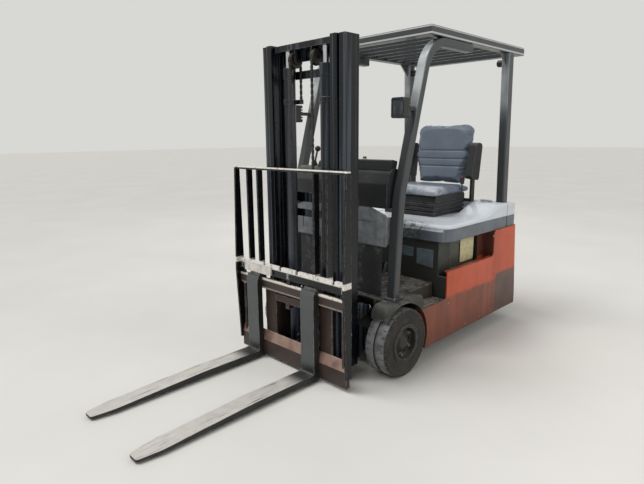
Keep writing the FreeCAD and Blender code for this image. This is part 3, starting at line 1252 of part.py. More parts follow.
def seat_restraints():
    """Hip restraint wings on both sides of the backrest, carried by a bar behind the cushion."""
    wing = slab([
        (WING_FOOT_Y[0], CUSHION_TOP + 40, 20),
        (WING_FOOT_Y[1], CUSHION_TOP + 20, 20),
        (WING_HEAD_Y[1], BACK_TOP - 148, 30),
        (WING_HEAD_Y[0], BACK_TOP - 138, 30),
    ], "yz", RESTRAINT_X)
    stay = slab([
        (STAY_Y[0], SHOULDER_TOP + 6),
        (STAY_Y[1], SHOULDER_TOP + 6),
        (STAY_Y[1], CUSHION_TOP + 90),
        (STAY_Y[0], CUSHION_TOP + 90),
    ], "yz", (RESTRAINT_X[0] + 6, RESTRAINT_X[0] + 24))
    bar = block((-RESTRAINT_X[0] - 24, RESTRAINT_X[0] + 24), (SEAT_BASE_Y[1] + SEAT_GAP, STAY_Y[1]),
                (SHOULDER_TOP + 6, SHOULDER_TOP + 26))
    return joined([wing, stay, mirrored(wing), mirrored(stay), bar])


def channel(x, y, z, web, flange):
    """Upright rolled rail of C section with its web outwards: rounded corners and a top cap."""
    section = [
        (x[0], y[0], 4),
        (x[1], y[0], 9),
        (x[1], y[1], 9),
        (x[0], y[1], 4),
        (x[0], y[1] - flange, 3),
        (x[1] - web, y[1] - flange, RAIL_ROOT_R),
        (x[1] - web, y[0] + flange, RAIL_ROOT_R),
        (x[0], y[0] + flange, 3),
    ]
    cap = block((x[0] + 2, x[1] - 2), (y[0] + 2, y[1] - 2), (z[1] - RAIL_CAP, z[1]))
    return joined([slab(section, "xy", z), cap])


def arched_tie(half, y, z, rise):
    """Cross tie of a mast stage with an arched lower edge."""
    return slab([
        (-half, z[0]),
        (-half + 26, z[0], 14),
        (-half + 80, z[0] + rise, 60),
        (half - 80, z[0] + rise, 60),
        (half - 26, z[0], 14),
        (half, z[0]),
        (half, z[1]),
        (-half, z[1]),
    ], "xz", y)


def mast_outer():
    """Outer mast: two capped channels, arched rear ties, foot plate, pivot lugs and tilt ears."""
    rail = channel(OUTER_RAIL_X, OUTER_RAIL_Y, (MAST_BOTTOM, MAST_TOP), OUTER_WEB, OUTER_FLANGE)
    rear = OUTER_RAIL_Y[1]
    lug = slab([
        (rear - 2, MAST_PIVOT_Z - 90),
        (MAST_PIVOT_Y + PIVOT_EYE_R, MAST_PIVOT_Z - PIVOT_EYE_R, PIVOT_EYE_R - 1),
        (MAST_PIVOT_Y + PIVOT_EYE_R, MAST_PIVOT_Z + PIVOT_EYE_R, PIVOT_EYE_R - 1),
        (rear - 2, MAST_PIVOT_Z + 130),
    ], "yz", PIVOT_LUG_X)
    lug = lug.cut(cross_bar(MAST_PIVOT_R + SEAT_GAP, (PIVOT_LUG_X[0] - 1, PIVOT_LUG_X[1] + 1), MAST_PIVOT_Y, MAST_PIVOT_Z))
    pin_y, pin_z = TILT_FRONT_PIN
    pad = block((TILT_EAR_X[0][0] - 6, TILT_EAR_X[1][1] + 6), (rear - 1, rear + 8), (pin_z - 55, pin_z + 55))
    ears = [slab([
        (rear + 1, pin_z - 50),
        (pin_y + TILT_EYE_R - 4, pin_z - TILT_EYE_R + 4, TILT_EYE_R - 5),
        (pin_y + TILT_EYE_R - 4, pin_z + TILT_EYE_R - 4, TILT_EYE_R - 5),
        (rear + 1, pin_z + 50),
    ], "yz", span) for span in TILT_EAR_X]
    pin = cross_bar(TILT_PIN_R, (TILT_EAR_X[0][0], TILT_EAR_X[1][1]), pin_y, pin_z)
    side = [rail, lug, pad, pin] + ears
    inner = OUTER_RAIL_X[1] - OUTER_WEB
    foot = block((-inner, inner), (OUTER_RAIL_Y[0] + 10, rear), (MAST_BOTTOM, MAST_BOTTOM + TIE_THICK))
    ties = [arched_tie(inner, OUTER_TIE_Y, span, rise) for span, rise in OUTER_TIES]
    return joined([foot] + ties + side + [mirrored(piece) for piece in side])


def lift_cylinders():
    """Lift cylinder barrels with feet, ports, gland heads and the clamps of the rear chain runs."""
    low = MAST_BOTTOM + TIE_THICK
    anchor_z = (CHAIN_ANCHOR_Z - SEAT_GAP - ANCHOR_THICK, CHAIN_ANCHOR_Z - SEAT_GAP)
    strand_y = SHEAVE_Y + SHEAVE_R - GROOVE_DEEP + SEAT_GAP + CHAIN_THICK / 2
    port = Vector(LIFT_X, LIFT_Y, low + 64)
    gland_z = (LIFT_BARREL_TOP - 60, LIFT_BARREL_TOP)
    rings = [
        (LIFT_BARREL_R, (low, LIFT_BARREL_TOP)),
        (LIFT_BARREL_R + 3, gland_z),
        (LIFT_BARREL_R + 3, (low, low + 30)),
        (LIFT_BARREL_R + 4, anchor_z),
    ]
    barrel = joined([round_bar(radius, Vector(LIFT_X, LIFT_Y, span[0]), Vector(LIFT_X, LIFT_Y, span[1]))
                     for radius, span in rings] + [
        block((SHEAVE_X - 14, LIFT_X), (strand_y - 16, strand_y + CHAIN_THICK / 2), anchor_z),
        round_bar(10, port, port.sub(Vector(LIFT_BARREL_R + 10, 0, 0))),
    ])
    bore = round_bar(LIFT_ROD_R + SEAT_GAP, Vector(LIFT_X, LIFT_Y, low + 30), Vector(LIFT_X, LIFT_Y, LIFT_BARREL_TOP + 1))
    barrel = barrel.cut(bore)
    return [barrel, mirrored(barrel)]


def mast_inner():
    """Inner mast: two capped channels with guide rollers, arched ties and the head beam."""
    rail = channel(INNER_RAIL_X, INNER_RAIL_Y, (INNER_BOTTOM, MAST_TOP), INNER_WEB, INNER_FLANGE)
    centre_y = (OUTER_RAIL_Y[0] + OUTER_RAIL_Y[1]) / 2
    roller_r = (OUTER_RAIL_Y[1] - OUTER_RAIL_Y[0]) / 2 - OUTER_FLANGE - 0.5
    roller_x = (INNER_RAIL_X[1] + 4, OUTER_RAIL_X[1] - OUTER_WEB - RAIL_ROOT_R - 1)
    rollers = [cross_bar(roller_r, roller_x, centre_y, z) for z in MAST_ROLLER_Z]
    stubs = [cross_bar(20, (INNER_RAIL_X[1] - 2, INNER_RAIL_X[1] + 8), centre_y, z)
             for z in MAST_ROLLER_Z]
    side = [rail] + rollers + stubs
    inner = INNER_RAIL_X[1] - INNER_WEB
    rear = INNER_RAIL_Y[1]
    ties = [arched_tie(inner, INNER_TIE_Y, span, rise) for span, rise in INNER_TIES]
    head = block((-inner, inner), (INNER_RAIL_Y[0] + 30, rear), HEAD_BEAM_Z)
    hanger_x = SHEAVE_X - SHEAVE_WIDE / 2 - 12
    hanger = slab([
        (SHEAVE_Y - 24, SHEAVE_Z - 24, 22),
        (SHEAVE_Y + 24, SHEAVE_Z - 24, 22),
        (SHEAVE_Y + 24, HEAD_BEAM_Z[0] + 1),
        (SHEAVE_Y - 24, HEAD_BEAM_Z[0] + 1),
    ], "yz", (hanger_x, hanger_x + 8))
    axle = cross_bar(SHEAVE_PIN_R, (hanger_x + 6, SHEAVE_X + SHEAVE_WIDE / 2), SHEAVE_Y, SHEAVE_Z)
    pieces = side + [hanger, axle]
    return joined([head] + ties + pieces + [mirrored(piece) for piece in pieces])


def lift_rods():
    """Chromed rods of the lift cylinders, up to the head beam."""
    rod = round_bar(LIFT_ROD_R, Vector(LIFT_X, LIFT_Y, MAST_BOTTOM + TIE_THICK + 40), Vector(LIFT_X, LIFT_Y, HEAD_BEAM_Z[0]))
    return [rod, mirrored(rod)]


def sheaves():
    """Chain sheaves with flanged rims, turning on the head beam's stub axles."""
    half = SHEAVE_WIDE / 2
    groove = SHEAVE_R - GROOVE_DEEP
    profile = [
        (-half, SHEAVE_PIN_R + SEAT_GAP), (half, SHEAVE_PIN_R + SEAT_GAP), (half, SHEAVE_R), (half - 3, SHEAVE_R),
        (half - 3, groove), (-half + 3, groove), (-half + 3, SHEAVE_R), (-half, SHEAVE_R),
    ]
    sheave = turned(profile, SHEAVE_X, SHEAVE_Y, SHEAVE_Z)
    return [sheave, mirrored(sheave)]


def chain_front():
    """Front runs of the lift chains, from over the sheaves down to the carriage."""
    groove = SHEAVE_R - GROOVE_DEEP + SEAT_GAP
    half = CHAIN_WIDE / 2
    ring = turned([(-half, groove), (half, groove), (half, groove + CHAIN_THICK), (-half, groove + CHAIN_THICK)],
                  SHEAVE_X, SHEAVE_Y, SHEAVE_Z)
    over = ring.common(block((0, 2 * SHEAVE_X), (SHEAVE_Y - 200, SHEAVE_Y + 200), (SHEAVE_Z, SHEAVE_Z + 200)))
    run = block((SHEAVE_X - half, SHEAVE_X + half), (SHEAVE_Y - groove - CHAIN_THICK, SHEAVE_Y - groove),
                (CHAIN_LUG_TOP + SEAT_GAP, SHEAVE_Z))
    chain = joined([over, run])
    return [chain, mirrored(chain)]


def chain_rear():
    """Rear runs of the lift chains, from the sheaves down to the clamps on the barrels."""
    groove = SHEAVE_R - GROOVE_DEEP + SEAT_GAP
    half = CHAIN_WIDE / 2
    run = block((SHEAVE_X - half, SHEAVE_X + half), (SHEAVE_Y + groove, SHEAVE_Y + groove + CHAIN_THICK),
                (CHAIN_ANCHOR_Z, SHEAVE_Z - SEAT_GAP))
    return [run, mirrored(run)]


def carriage_plate():
    """Side plate of the carriage with its front flange and the rollers in the inner mast."""
    centre_y = (INNER_RAIL_Y[0] + INNER_RAIL_Y[1]) / 2
    plate = slab([
        (BAR_Y[1] - 1, LOWER_BAR_Z[0] + 10),
        (centre_y - 20, 120, 30),
        (centre_y + 45, 150, 30),
        (centre_y + 45, CARRIAGE_TOP, 30),
        (centre_y - 40, CARRIAGE_TOP, 30),
        (BAR_Y[1] - 1, UPPER_BAR_Z[1] - 8),
    ], "yz", CARRIAGE_PLATE_X)
    flange = block((CARRIAGE_PLATE_X[0] - 22, CARRIAGE_PLATE_X[1] + 60), (BAR_Y[1] - 2, BAR_Y[1] + 8),
                   (LOWER_BAR_Z[1] - 60, UPPER_BAR_Z[0] + 30))
    roller_x = (INNER_RAIL_X[0] - 1, INNER_RAIL_X[1] - INNER_WEB - RAIL_ROOT_R - 1)
    roller_r = (INNER_RAIL_Y[1] - INNER_RAIL_Y[0]) / 2 - INNER_FLANGE - 0.5
    pieces = [plate, flange]
    for height in CARRIAGE_ROLLER_Z:
        pieces.append(cross_bar(roller_r, roller_x, centre_y, height))
        pieces.append(cross_bar(18, (CARRIAGE_PLATE_X[1] - 2, roller_x[0] + 2), centre_y, height))
    lug = slab([
        (BAR_Y[1] + 2, CHAIN_LUG_TOP - CHAIN_LUG_THICK - 14),
        (SHEAVE_Y - SHEAVE_R + 14, CHAIN_LUG_TOP - CHAIN_LUG_THICK),
        (SHEAVE_Y - SHEAVE_R + 14, CHAIN_LUG_TOP),
        (BAR_Y[1] + 2, CHAIN_LUG_TOP),
    ], "yz", (SHEAVE_X - 16, SHEAVE_X + 16))
    return pieces + [lug]


def carriage():
    """Fork carriage: shifted hook-on bars, side plates with rollers, cross member and end plates."""
    bar_x = (SIDE_SHIFT - CARRIAGE_HALF, SIDE_SHIFT + CARRIAGE_HALF)
    lower = slab([
        (BAR_Y[0], LOWER_BAR_Z[0], 3),
        (BAR_Y[1], LOWER_BAR_Z[0], 3),
        (BAR_Y[1], LOWER_BAR_Z[1]),
        (BAR_Y[1] - 8, LOWER_BAR_Z[1], 3),
        (BAR_Y[0], LOWER_BAR_FACE_TOP, 6),
    ], "yz", bar_x)
    upper = slab([
        (BAR_Y[0], UPPER_BAR_Z[0] + 14),
        (BAR_Y[0] + 12, UPPER_BAR_Z[0]),
        (BAR_Y[1], UPPER_BAR_Z[0]),
        (BAR_Y[1], UPPER_BAR_Z[1], 3),
        (BAR_Y[0], UPPER_BAR_Z[1], 3),
    ], "yz", bar_x)
    for index in range(-NOTCHES, NOTCHES + 1):
        centre = SIDE_SHIFT + (index + 0.5) * TAB_PITCH / 2
        upper = upper.cut(block((centre - 7, centre + 7), (BAR_Y[0] + 8, BAR_Y[1] + 1),
                                (UPPER_BAR_Z[1] - 9, UPPER_BAR_Z[1] + 1)))
    ends = [block((SIDE_SHIFT + offset - 8, SIDE_SHIFT + offset + 8), (BAR_Y[0] + 6, BAR_Y[1]),
                  (LOWER_BAR_FACE_TOP, UPPER_BAR_Z[0] + 1)) for offset in (-END_PLATE_OFFSET, END_PLATE_OFFSET)]
    cross = block((-CARRIAGE_PLATE_X[1], CARRIAGE_PLATE_X[1]), (BAR_Y[1] - 1, BAR_Y[1] + 24),
                  (CHAIN_LUG_TOP - 6, CHAIN_LUG_TOP + 36))
    pieces = carriage_plate()
    return joined([lower, upper, cross] + ends + pieces + [mirrored(piece) for piece in pieces])


def load_backrest():
    """Load backrest: uprights on edge outside the bars, a tabbed rail, inner bars and a top bar."""
    half = CARRIAGE_HALF
    rail = block((SIDE_SHIFT - half - 1, SIDE_SHIFT + half + 1), BACKREST_Y, BACKREST_RAIL_Z)
    top = block((SIDE_SHIFT - half - 1, SIDE_SHIFT + half + 1), BACKREST_Y, (BACKREST_TOP - 18, BACKREST_TOP))
    pieces = [rail, top]
    for start in (SIDE_SHIFT - half - BACKREST_THICK, SIDE_SHIFT + half):
        pieces.append(slab([
            (UPRIGHT_Y[0] + 20, LOWER_BAR_Z[0] + 58),
            (UPRIGHT_Y[1], LOWER_BAR_Z[0] + 58),
            (UPRIGHT_Y[1], UPPER_BAR_Z[1] + 20, 30),
            (BACKREST_Y[1] + 8, BACKREST_TOP - 60, 30),
            (BACKREST_Y[1] + 8, BACKREST_TOP, 8),
            (BACKREST_Y[0] - 14, BACKREST_TOP, 8),
            (UPRIGHT_Y[0], UPPER_BAR_Z[1] + 20, 30),
        ], "yz", (start, start + BACKREST_THICK)))
    for offset in FOOT_OFFSETS:
        centre = SIDE_SHIFT + offset
        pieces.append(block((centre - 16, centre + 16), BACKREST_Y, (UPPER_BAR_Z[1], BACKREST_RAIL_Z[0] + 1)))
    for index in range(-TABS_EACH_SIDE, TABS_EACH_SIDE + 1):
        low = max(index * TAB_PITCH - TAB_WIDE / 2, -half)
        high = min(index * TAB_PITCH + TAB_WIDE / 2, half)
        pieces.append(slab([
            (SIDE_SHIFT + low, BACKREST_RAIL_Z[1] - 1),
            (SIDE_SHIFT + high, BACKREST_RAIL_Z[1] - 1),
            (SIDE_SHIFT + high, BACKREST_TAB_TOP, 10),
            (SIDE_SHIFT + low, BACKREST_TAB_TOP, 10),
        ], "xz", BACKREST_Y))
    for offset in INNER_BAR_OFFSETS:
        centre = SIDE_SHIFT + offset
        pieces.append(block((centre - 6, centre + 6), (BACKREST_Y[0], BACKREST_Y[0] + INNER_BAR_DEEP),
                            (BACKREST_RAIL_Z[0], BACKREST_TOP - 4)))
    return joined(pieces)


def fork(centre):
    """Hook-on fork: shank, tapered blade with a pointed tip, hooks over both bars and its latch."""
    back = FORK_FACE_Y + FORK_THICK
    top = FORK_BOTTOM + FORK_THICK
    tip = -FORK_REACH
    profile = slab([
        (back, FORK_BOTTOM, FORK_HEEL_R),
        (tip, FORK_BOTTOM),
        (tip, FORK_BOTTOM + FORK_TIP_THICK, 5),
        (tip + FORK_TAPER_LENGTH, top, 400),
        (FORK_FACE_Y, top, 14),
        (FORK_FACE_Y, FORK_SHANK_TOP - 30, 8),
        (FORK_FACE_Y + 12, FORK_SHANK_TOP, 6),
        (back, FORK_SHANK_TOP, 4),
    ], "yz", (centre - FORK_WIDE / 2, centre + FORK_WIDE / 2))
    point = FORK_WIDE * 0.32
    plan = slab([
        (centre - FORK_WIDE / 2, back + 1),
        (centre - FORK_WIDE / 2, tip + 120, 80),
        (centre - point, tip, 18),
        (centre + point, tip, 18),
        (centre + FORK_WIDE / 2, tip + 120, 80),
        (centre + FORK_WIDE / 2, back + 1),
    ], "xy", (0, FORK_SHANK_TOP + 1))
    blade = profile.common(plan)
    span = (centre - FORK_WIDE / 2 + 6, centre + FORK_WIDE / 2 - 6)
    gap = SEAT_GAP
    hook_back = BAR_Y[1] + gap + 14
    upper = slab([
        (back - 1, UPPER_BAR_Z[1] + gap),
        (BAR_Y[1] + gap, UPPER_BAR_Z[1] + gap),
        (BAR_Y[1] + gap, UPPER_BAR_Z[1] - 16),
        (hook_back, UPPER_BAR_Z[1] - 16),
        (hook_back, UPPER_BAR_Z[1] + HOOK_THICK, 6),
        (back - 12, UPPER_BAR_Z[1] + HOOK_THICK),
        (back - 12, UPPER_BAR_Z[1] - 10),
        (back - 1, UPPER_BAR_Z[1] - 10),
    ], "yz", span)
    lower = slab([
        (back - 20, LOWER_BAR_Z[0] - gap),
        (BAR_Y[1] + gap, LOWER_BAR_Z[0] - gap),
        (BAR_Y[1] + gap, LOWER_BAR_Z[0] + 14),
        (hook_back, LOWER_BAR_Z[0] + 14),
        (hook_back, FORK_BOTTOM, 6),
        (back - 20, FORK_BOTTOM),
    ], "yz", span)
    latch_y = (BAR_Y[1] + hook_back) / 2 - 2
    latch_z = UPPER_BAR_Z[1] + HOOK_THICK
    latch = round_bar(7, Vector(centre, latch_y, latch_z - 2), Vector(centre, latch_y, latch_z + 22))
    handle = cross_bar(5, (centre - LATCH_HANDLE_HALF, centre + LATCH_HANDLE_HALF), latch_y, latch_z + 20)
    return joined([blade, upper, lower, latch, handle])


def tilt_line():
    """Start, unit direction and length of the tilt cylinder between its pins, on the left."""
    start = Vector(TILT_X, TILT_REAR_PIN[0], TILT_REAR_PIN[1])
    end = Vector(TILT_X, TILT_FRONT_PIN[0], TILT_FRONT_PIN[1])
    along = end.sub(start)
    return start, Vector(along).normalize(), along.Length


def tilt_point(distance):
    """Point on the tilt cylinder's line, measured from its rear pin."""
    start, along = tilt_line()[:2]
    return start.add(Vector(along).multiply(distance))


def eye(spot, bore_r):
    """Flat eye of a cylinder end about X, with its bore."""
    span = (TILT_X - TILT_EYE_HALF, TILT_X + TILT_EYE_HALF)
    return cross_bar(TILT_EYE_R, span, spot.y, spot.z), cross_bar(bore_r, span, spot.y, spot.z)


def tilt_barrel():
    """Tilt cylinder barrel with its rear eye and gland head."""
    body, bore = eye(tilt_point(0), TILT_PIN_R + SEAT_GAP)
    neck = round_bar(TILT_EYE_HALF, tilt_point(15), tilt_point(TILT_BARREL_SPAN[0] + 5))
    tube = round_bar(TILT_BARREL_R, tilt_point(TILT_BARREL_SPAN[0]), tilt_point(TILT_BARREL_SPAN[1]))
    gland = round_bar(TILT_BARREL_R + 3, tilt_point(TILT_BARREL_SPAN[1] - 40), tilt_point(TILT_BARREL_SPAN[1] - 6))
    rod_bore = round_bar(TILT_ROD_R + SEAT_GAP, tilt_point(TILT_BARREL_SPAN[0] + 15),
                         tilt_point(TILT_BARREL_SPAN[1] + 1))
    return joined([body, neck, tube, gland]).cut(bore).cut(rod_bore)


def tilt_rod():
    """Tilt cylinder rod with its front eye, loose on the mast's pin."""
    length = tilt_line()[2]
    body, bore = eye(tilt_point(length), TILT_PIN_R + TILT_EYE_PLAY)
    bar = round_bar(TILT_ROD_R, tilt_point(TILT_ROD_START), tilt_point(length - 44))
    neck = round_bar(TILT_EYE_HALF, tilt_point(length - 46), tilt_point(length - 14))
    return joined([body, bar, neck]).cut(bore)


def compound(shapes):
    """One node from separate solids."""
    return Part.makeCompound(shapes)


def build():
    """All nodes by name."""
    nodes = {}
    for side in SIDES:
        sign = SIDES[side]
        wheel_x = sign * FRONT_WHEEL_X
        nodes["front_tyre_" + side] = turned(tyre(FRONT_TYRE_DIA / 2, FRONT_TYRE_WIDTH), wheel_x, 0, AXLE_Z)
        nodes["front_rim_" + side] = on_side(front_rim(), side)
        nodes["side_shell_" + side] = on_side(side_shell(), side)
        nodes["tilt_barrel_" + side] = on_side(tilt_barrel(), side)
        nodes["tilt_rod_" + side] = on_side(tilt_rod(), side)
        nodes["fork_" + side] = fork(FORK_CENTRES[side])
    rear_tyre = tyre(REAR_TYRE_DIA / 2, REAR_TYRE_WIDTH)
    nodes["rear_tyres"] = compound([turned(rear_tyre, sign * REAR_TRACK / 2, REAR_AXLE_Y, REAR_AXLE_Z)
                                    for sign in SIDES.values()])
    nodes["rear_rims"] = rear_rims()
    nodes["fenders"] = both_apart(fender())
    nodes["steps"] = both_apart(step())
    nodes["steer_yoke"] = steer_yoke()
    nodes["frame"] = frame()
    nodes["floor_plate"] = floor_plate()
    nodes["battery"] = battery()
    nodes["front_axle"] = front_axle()
    nodes["counterweight"] = counterweight()
    nodes["hood"] = hood()
    nodes["tail_cover"] = tail_cover()
    nodes["guard_front_pillars"] = compound(guard_front_pillars())
    nodes["guard_rear_pillars"] = compound(guard_rear_pillars())
    nodes["guard_roof"] = guard_roof()
    nodes["headlamps"] = compound(headlamps())
    nodes["rear_lamps"] = compound(rear_lamps())
    nodes["cowl"] = cowl()
    nodes["dashboard"] = dashboard()
    nodes["steering_column"] = steering_column()
    nodes["steering_wheel"] = steering_wheel()
    nodes["pedals"] = compound(pedals())
    nodes["control_levers"] = compound(control_levers())
    nodes["seat_base"] = seat_base()
    nodes["seat_cushion"] = seat_cushion()
    nodes["seat_back"] = seat_back()
    nodes["seat_restraints"] = seat_restraints()
    nodes["mast_outer"] = mast_outer()
    nodes["lift_cylinders"] = compound(lift_cylinders())
    nodes["mast_inner"] = mast_inner()
    nodes["lift_rods"] = compound(lift_rods())
    nodes["chain_sheaves"] = compound(sheaves())
    nodes["chain_front"] = compound(chain_front())
    nodes["chain_rear"] = compound(chain_rear())
    nodes["carriage"] = carriage()
    nodes["load_backrest"] = load_backrest()
    return nodes


def main():
    """Build every node, move it to the row's origin and write it out."""
    os.makedirs("parts", exist_ok=True)
    for name, shape in build().items():
        shape.translate(Vector(0, ORIGIN_SHIFT_Y, 0))
        shape.exportStep(os.path.join("parts", name + ".step"))
        print(name, "solids", len(shape.Solids), "valid", shape.isValid(), "volume", round(shape.Volume))


main()
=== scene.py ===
"""Dressing of a three-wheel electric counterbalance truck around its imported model.

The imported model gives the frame: sizes come from its nodes' boxes or are named values in
metres. X points to the truck's left, Y to its rear and Z up, with the origin on the floor
under the front axle. Each sub-assembly is a class that builds its own surfaces as whole
arrays and puts them on the body that carries them.
"""

from __future__ import annotations

import json
import logging
import math
from dataclasses import dataclass
from enum import Enum
from typing import Optional, Sequence

import bmesh
import bpy
import numpy as np
from mathutils import Matrix, Vector

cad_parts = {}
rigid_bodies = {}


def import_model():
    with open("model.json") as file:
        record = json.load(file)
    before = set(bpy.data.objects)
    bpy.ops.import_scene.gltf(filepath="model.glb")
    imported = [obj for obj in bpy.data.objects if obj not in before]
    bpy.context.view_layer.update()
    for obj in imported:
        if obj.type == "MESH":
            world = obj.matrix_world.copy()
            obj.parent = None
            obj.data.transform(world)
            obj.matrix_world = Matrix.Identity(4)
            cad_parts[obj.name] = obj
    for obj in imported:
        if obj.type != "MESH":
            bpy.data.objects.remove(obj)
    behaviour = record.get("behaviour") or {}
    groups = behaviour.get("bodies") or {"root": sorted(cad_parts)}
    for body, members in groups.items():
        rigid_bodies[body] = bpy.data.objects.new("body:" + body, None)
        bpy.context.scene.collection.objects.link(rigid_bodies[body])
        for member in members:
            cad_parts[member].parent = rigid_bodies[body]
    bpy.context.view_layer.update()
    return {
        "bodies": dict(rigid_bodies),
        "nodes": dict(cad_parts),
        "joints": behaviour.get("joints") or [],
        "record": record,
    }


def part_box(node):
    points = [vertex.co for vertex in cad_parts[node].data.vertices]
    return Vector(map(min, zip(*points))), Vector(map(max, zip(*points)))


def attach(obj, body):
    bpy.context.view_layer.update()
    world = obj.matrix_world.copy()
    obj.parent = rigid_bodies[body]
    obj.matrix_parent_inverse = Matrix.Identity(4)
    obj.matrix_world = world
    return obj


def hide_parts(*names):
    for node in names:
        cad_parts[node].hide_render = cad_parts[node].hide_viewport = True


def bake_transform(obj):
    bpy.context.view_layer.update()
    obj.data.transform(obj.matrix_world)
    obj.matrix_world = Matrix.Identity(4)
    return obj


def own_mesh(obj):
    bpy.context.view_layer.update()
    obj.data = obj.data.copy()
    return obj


LOG = logging.getLogger("truck")
Colour = tuple[float, float, float]
Screen = tuple[int, int, int]
Point = tuple[float, float, float]
Point2 = tuple[float, float]
Array = np.ndarray
Socket = bpy.types.NodeSocket
SIDES = {"left": 1.0, "right": -1.0}

AXLE_HEIGHT = 0.203
REAR_AXLE_Y = 1.225
REAR_AXLE_Z = 0.1905
CHAIN_X = 0.088
SHEAVE_Y = -0.270
SHEAVE_Z = 1.812
CHAIN_LINE_R = 0.0413
CHAIN_FOOT_Z = 0.4023
CHAIN_ANCHOR_Z = 1.600
CHAIN_PITCH = 0.0159


class Axis(Enum):
    """An axis of the frame: its place in a point, and the places of the two others."""

    X = (0, 1, 2)
    Y = (1, 0, 2)
    Z = (2, 0, 1)


def linear(screen: Screen) -> Colour:
    """Linear colour of a screen colour.

    Args:
        screen: red, green and blue from 0 to 255.

    Returns:
        Each channel's share plus 0.055, over 1.055, to the power 2.4; dark ones over 12.92.
    """
    shares = [value / 255.0 for value in screen]
    red, green, blue = (x / 12.92 if x <= 0.04045 else ((x + 0.055) / 1.055) ** 2.4 for x in shares)
    return red, green, blue


def corners(node: str) -> tuple[Array, Array]:
    """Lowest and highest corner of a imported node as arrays."""
    low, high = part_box(node)
    return np.array(low), np.array(high)


@dataclass(frozen=True)
class Surface:
    """Points of a piece and its polygons, one array of corner numbers for each polygon size."""

    points: Array
    faces: tuple[Array, ...]

    def __add__(self, other: "Surface") -> "Surface":
        """Both surfaces as one."""
        moved = tuple(face + len(self.points) for face in other.faces)
        return Surface(np.vstack((self.points, other.points)), self.faces + moved)

    def moved(self, offset: Point) -> "Surface":
        """The surface shifted by an offset."""
        return Surface(self.points + np.array(offset), self.faces)

    def turned(self, axis: Axis, degrees: float, about: Point = (0.0, 0.0, 0.0)) -> "Surface":
        """The surface turned about an axis through a point.

        Args:
            axis: axis of the turn.
            degrees: angle, positive by the right-hand rule.
            about: point on the axis.

        Returns:
            The turned surface: each point is the centre plus the rotation matrix times its offset.
        """
        way = Vector([1.0 if index == axis.value[0] else 0.0 for index in range(3)])
        matrix = np.array(Matrix.Rotation(math.radians(degrees), 3, way))
        centre = np.array(about)
        return Surface((self.points - centre) @ matrix.T + centre, self.faces)

    def copies(self, offsets: Sequence[Point] | Array) -> "Surface":
        """The surface repeated at each offset.

        Args:
            offsets: one shift for each copy.

        Returns:
            All copies as one surface, with corner numbers shifted by whole copies.
        """
        shifts = np.asarray(offsets, dtype=float).reshape(-1, 3)
        starts = np.arange(len(shifts)) * len(self.points)
        points = (self.points[None] + shifts[:, None]).reshape(-1, 3)
        faces = tuple((face[None] + starts[:, None, None]).reshape(-1, face.shape[1])
                      for face in self.faces)
        return Surface(points, faces)

    def mirrored(self) -> "Surface":
        """The surface on the truck's other side."""
        return Surface(self.points * (-1.0, 1.0, 1.0), tuple(face[:, ::-1] for face in self.faces))

    def both_sides(self) -> "Surface":
        """The surface together with its mirror image."""
        return self + self.mirrored()


def grid(points: Array, closed_rows: bool = False, closed_columns: bool = False) -> Surface:
    """Quads over a grid of points.

    Args:
        points: array of rows by columns by three.
        closed_rows: whether the last row joins the first.
        closed_columns: whether the last column joins the first.

    Returns:
        The surface with one quad for each cell of the grid.
    """
    rows, columns = points.shape[:2]
    number = np.arange(rows * columns).reshape(rows, columns)
    if closed_rows:
        number = np.vstack((number, number[:1]))
    if closed_columns:
        number = np.hstack((number, number[:, :1]))
    quads = np.stack((number[:-1, :-1], number[:-1, 1:], number[1:, 1:], number[1:, :-1]), axis=-1)
    return Surface(points.reshape(-1, 3), (quads.reshape(-1, 4),))


def placed(along: Array, first: Array, second: Array, axis: Axis, centre: Point) -> Array:
    """Points from their distances along an axis and across it.

    Args:
        along: distances along the axis.
        first: offsets along the first of the other axes.
        second: offsets along the second one.
        axis: the axis.
        centre: point from which all three count.

    Returns:
        Array of the three arrays' common shape by three.
    """
    points = np.zeros(np.broadcast(along, first, second).shape + (3,))
    for place, values in zip(axis.value, (along, first, second)):
        points[..., place] = values + centre[place]
    return points


def lathed(profile: Sequence[Point2] | Array, axis: Axis, centre: Point,
           segments: int = 32) -> Surface:
    """Turned form.

    Args:
        profile: closed outline of distances along the axis and radii.
        axis: axis of the turning.
        centre: point on the axis from which distances count.
        segments: steps round the axis.

    Returns:
        The surface whose points are the radius times cosine and sine of the angle.
    """
    outline = np.asarray(profile, dtype=float)
    angles = np.linspace(0.0, 2.0 * math.pi, segments, endpoint=False)
    along = outline[:, :1] + 0.0 * angles
    return grid(placed(along, outline[:, 1:] * np.cos(angles), outline[:, 1:] * np.sin(angles), axis, centre),
                closed_rows=True, closed_columns=True)


def prism(outline: Array | Sequence[Point2], axis: Axis, low: float, high: float) -> Surface:
    """Straight form over an outline.

    Args:
        outline: corners in the two axes other than the form's own, in their alphabetical order.
        axis: axis along which the outline is carried.
        low: where the form starts.
        high: where it ends.

    Returns:
        The closed surface with a cap at each end.
    """
    flat = np.asarray(outline, dtype=float)
    count = len(flat)
    ends = np.array([[low], [high]])
    sides = grid(placed(ends, flat[None, :, 0], flat[None, :, 1], axis, (0.0, 0.0, 0.0)), closed_columns=True)
    caps = np.stack((np.arange(count)[::-1], np.arange(count) + count))
    return Surface(sides.points, sides.faces + (caps,))


def regular(centre: Point2, radius: float, count: int, phase: float = 0.0) -> Array:
    """Corners of a regular polygon.

    Args:
        centre: its middle.
        radius: distance from the middle to a corner.
        count: how many corners it has.
        phase: angle of the first corner.

    Returns:
        Centre plus radius times cosine and sine of even angles.
    """
    angles = np.linspace(0.0, 2.0 * math.pi, count, endpoint=False) + phase
    return np.stack((centre[0] + radius * np.cos(angles), centre[1] + radius * np.sin(angles)), axis=1)


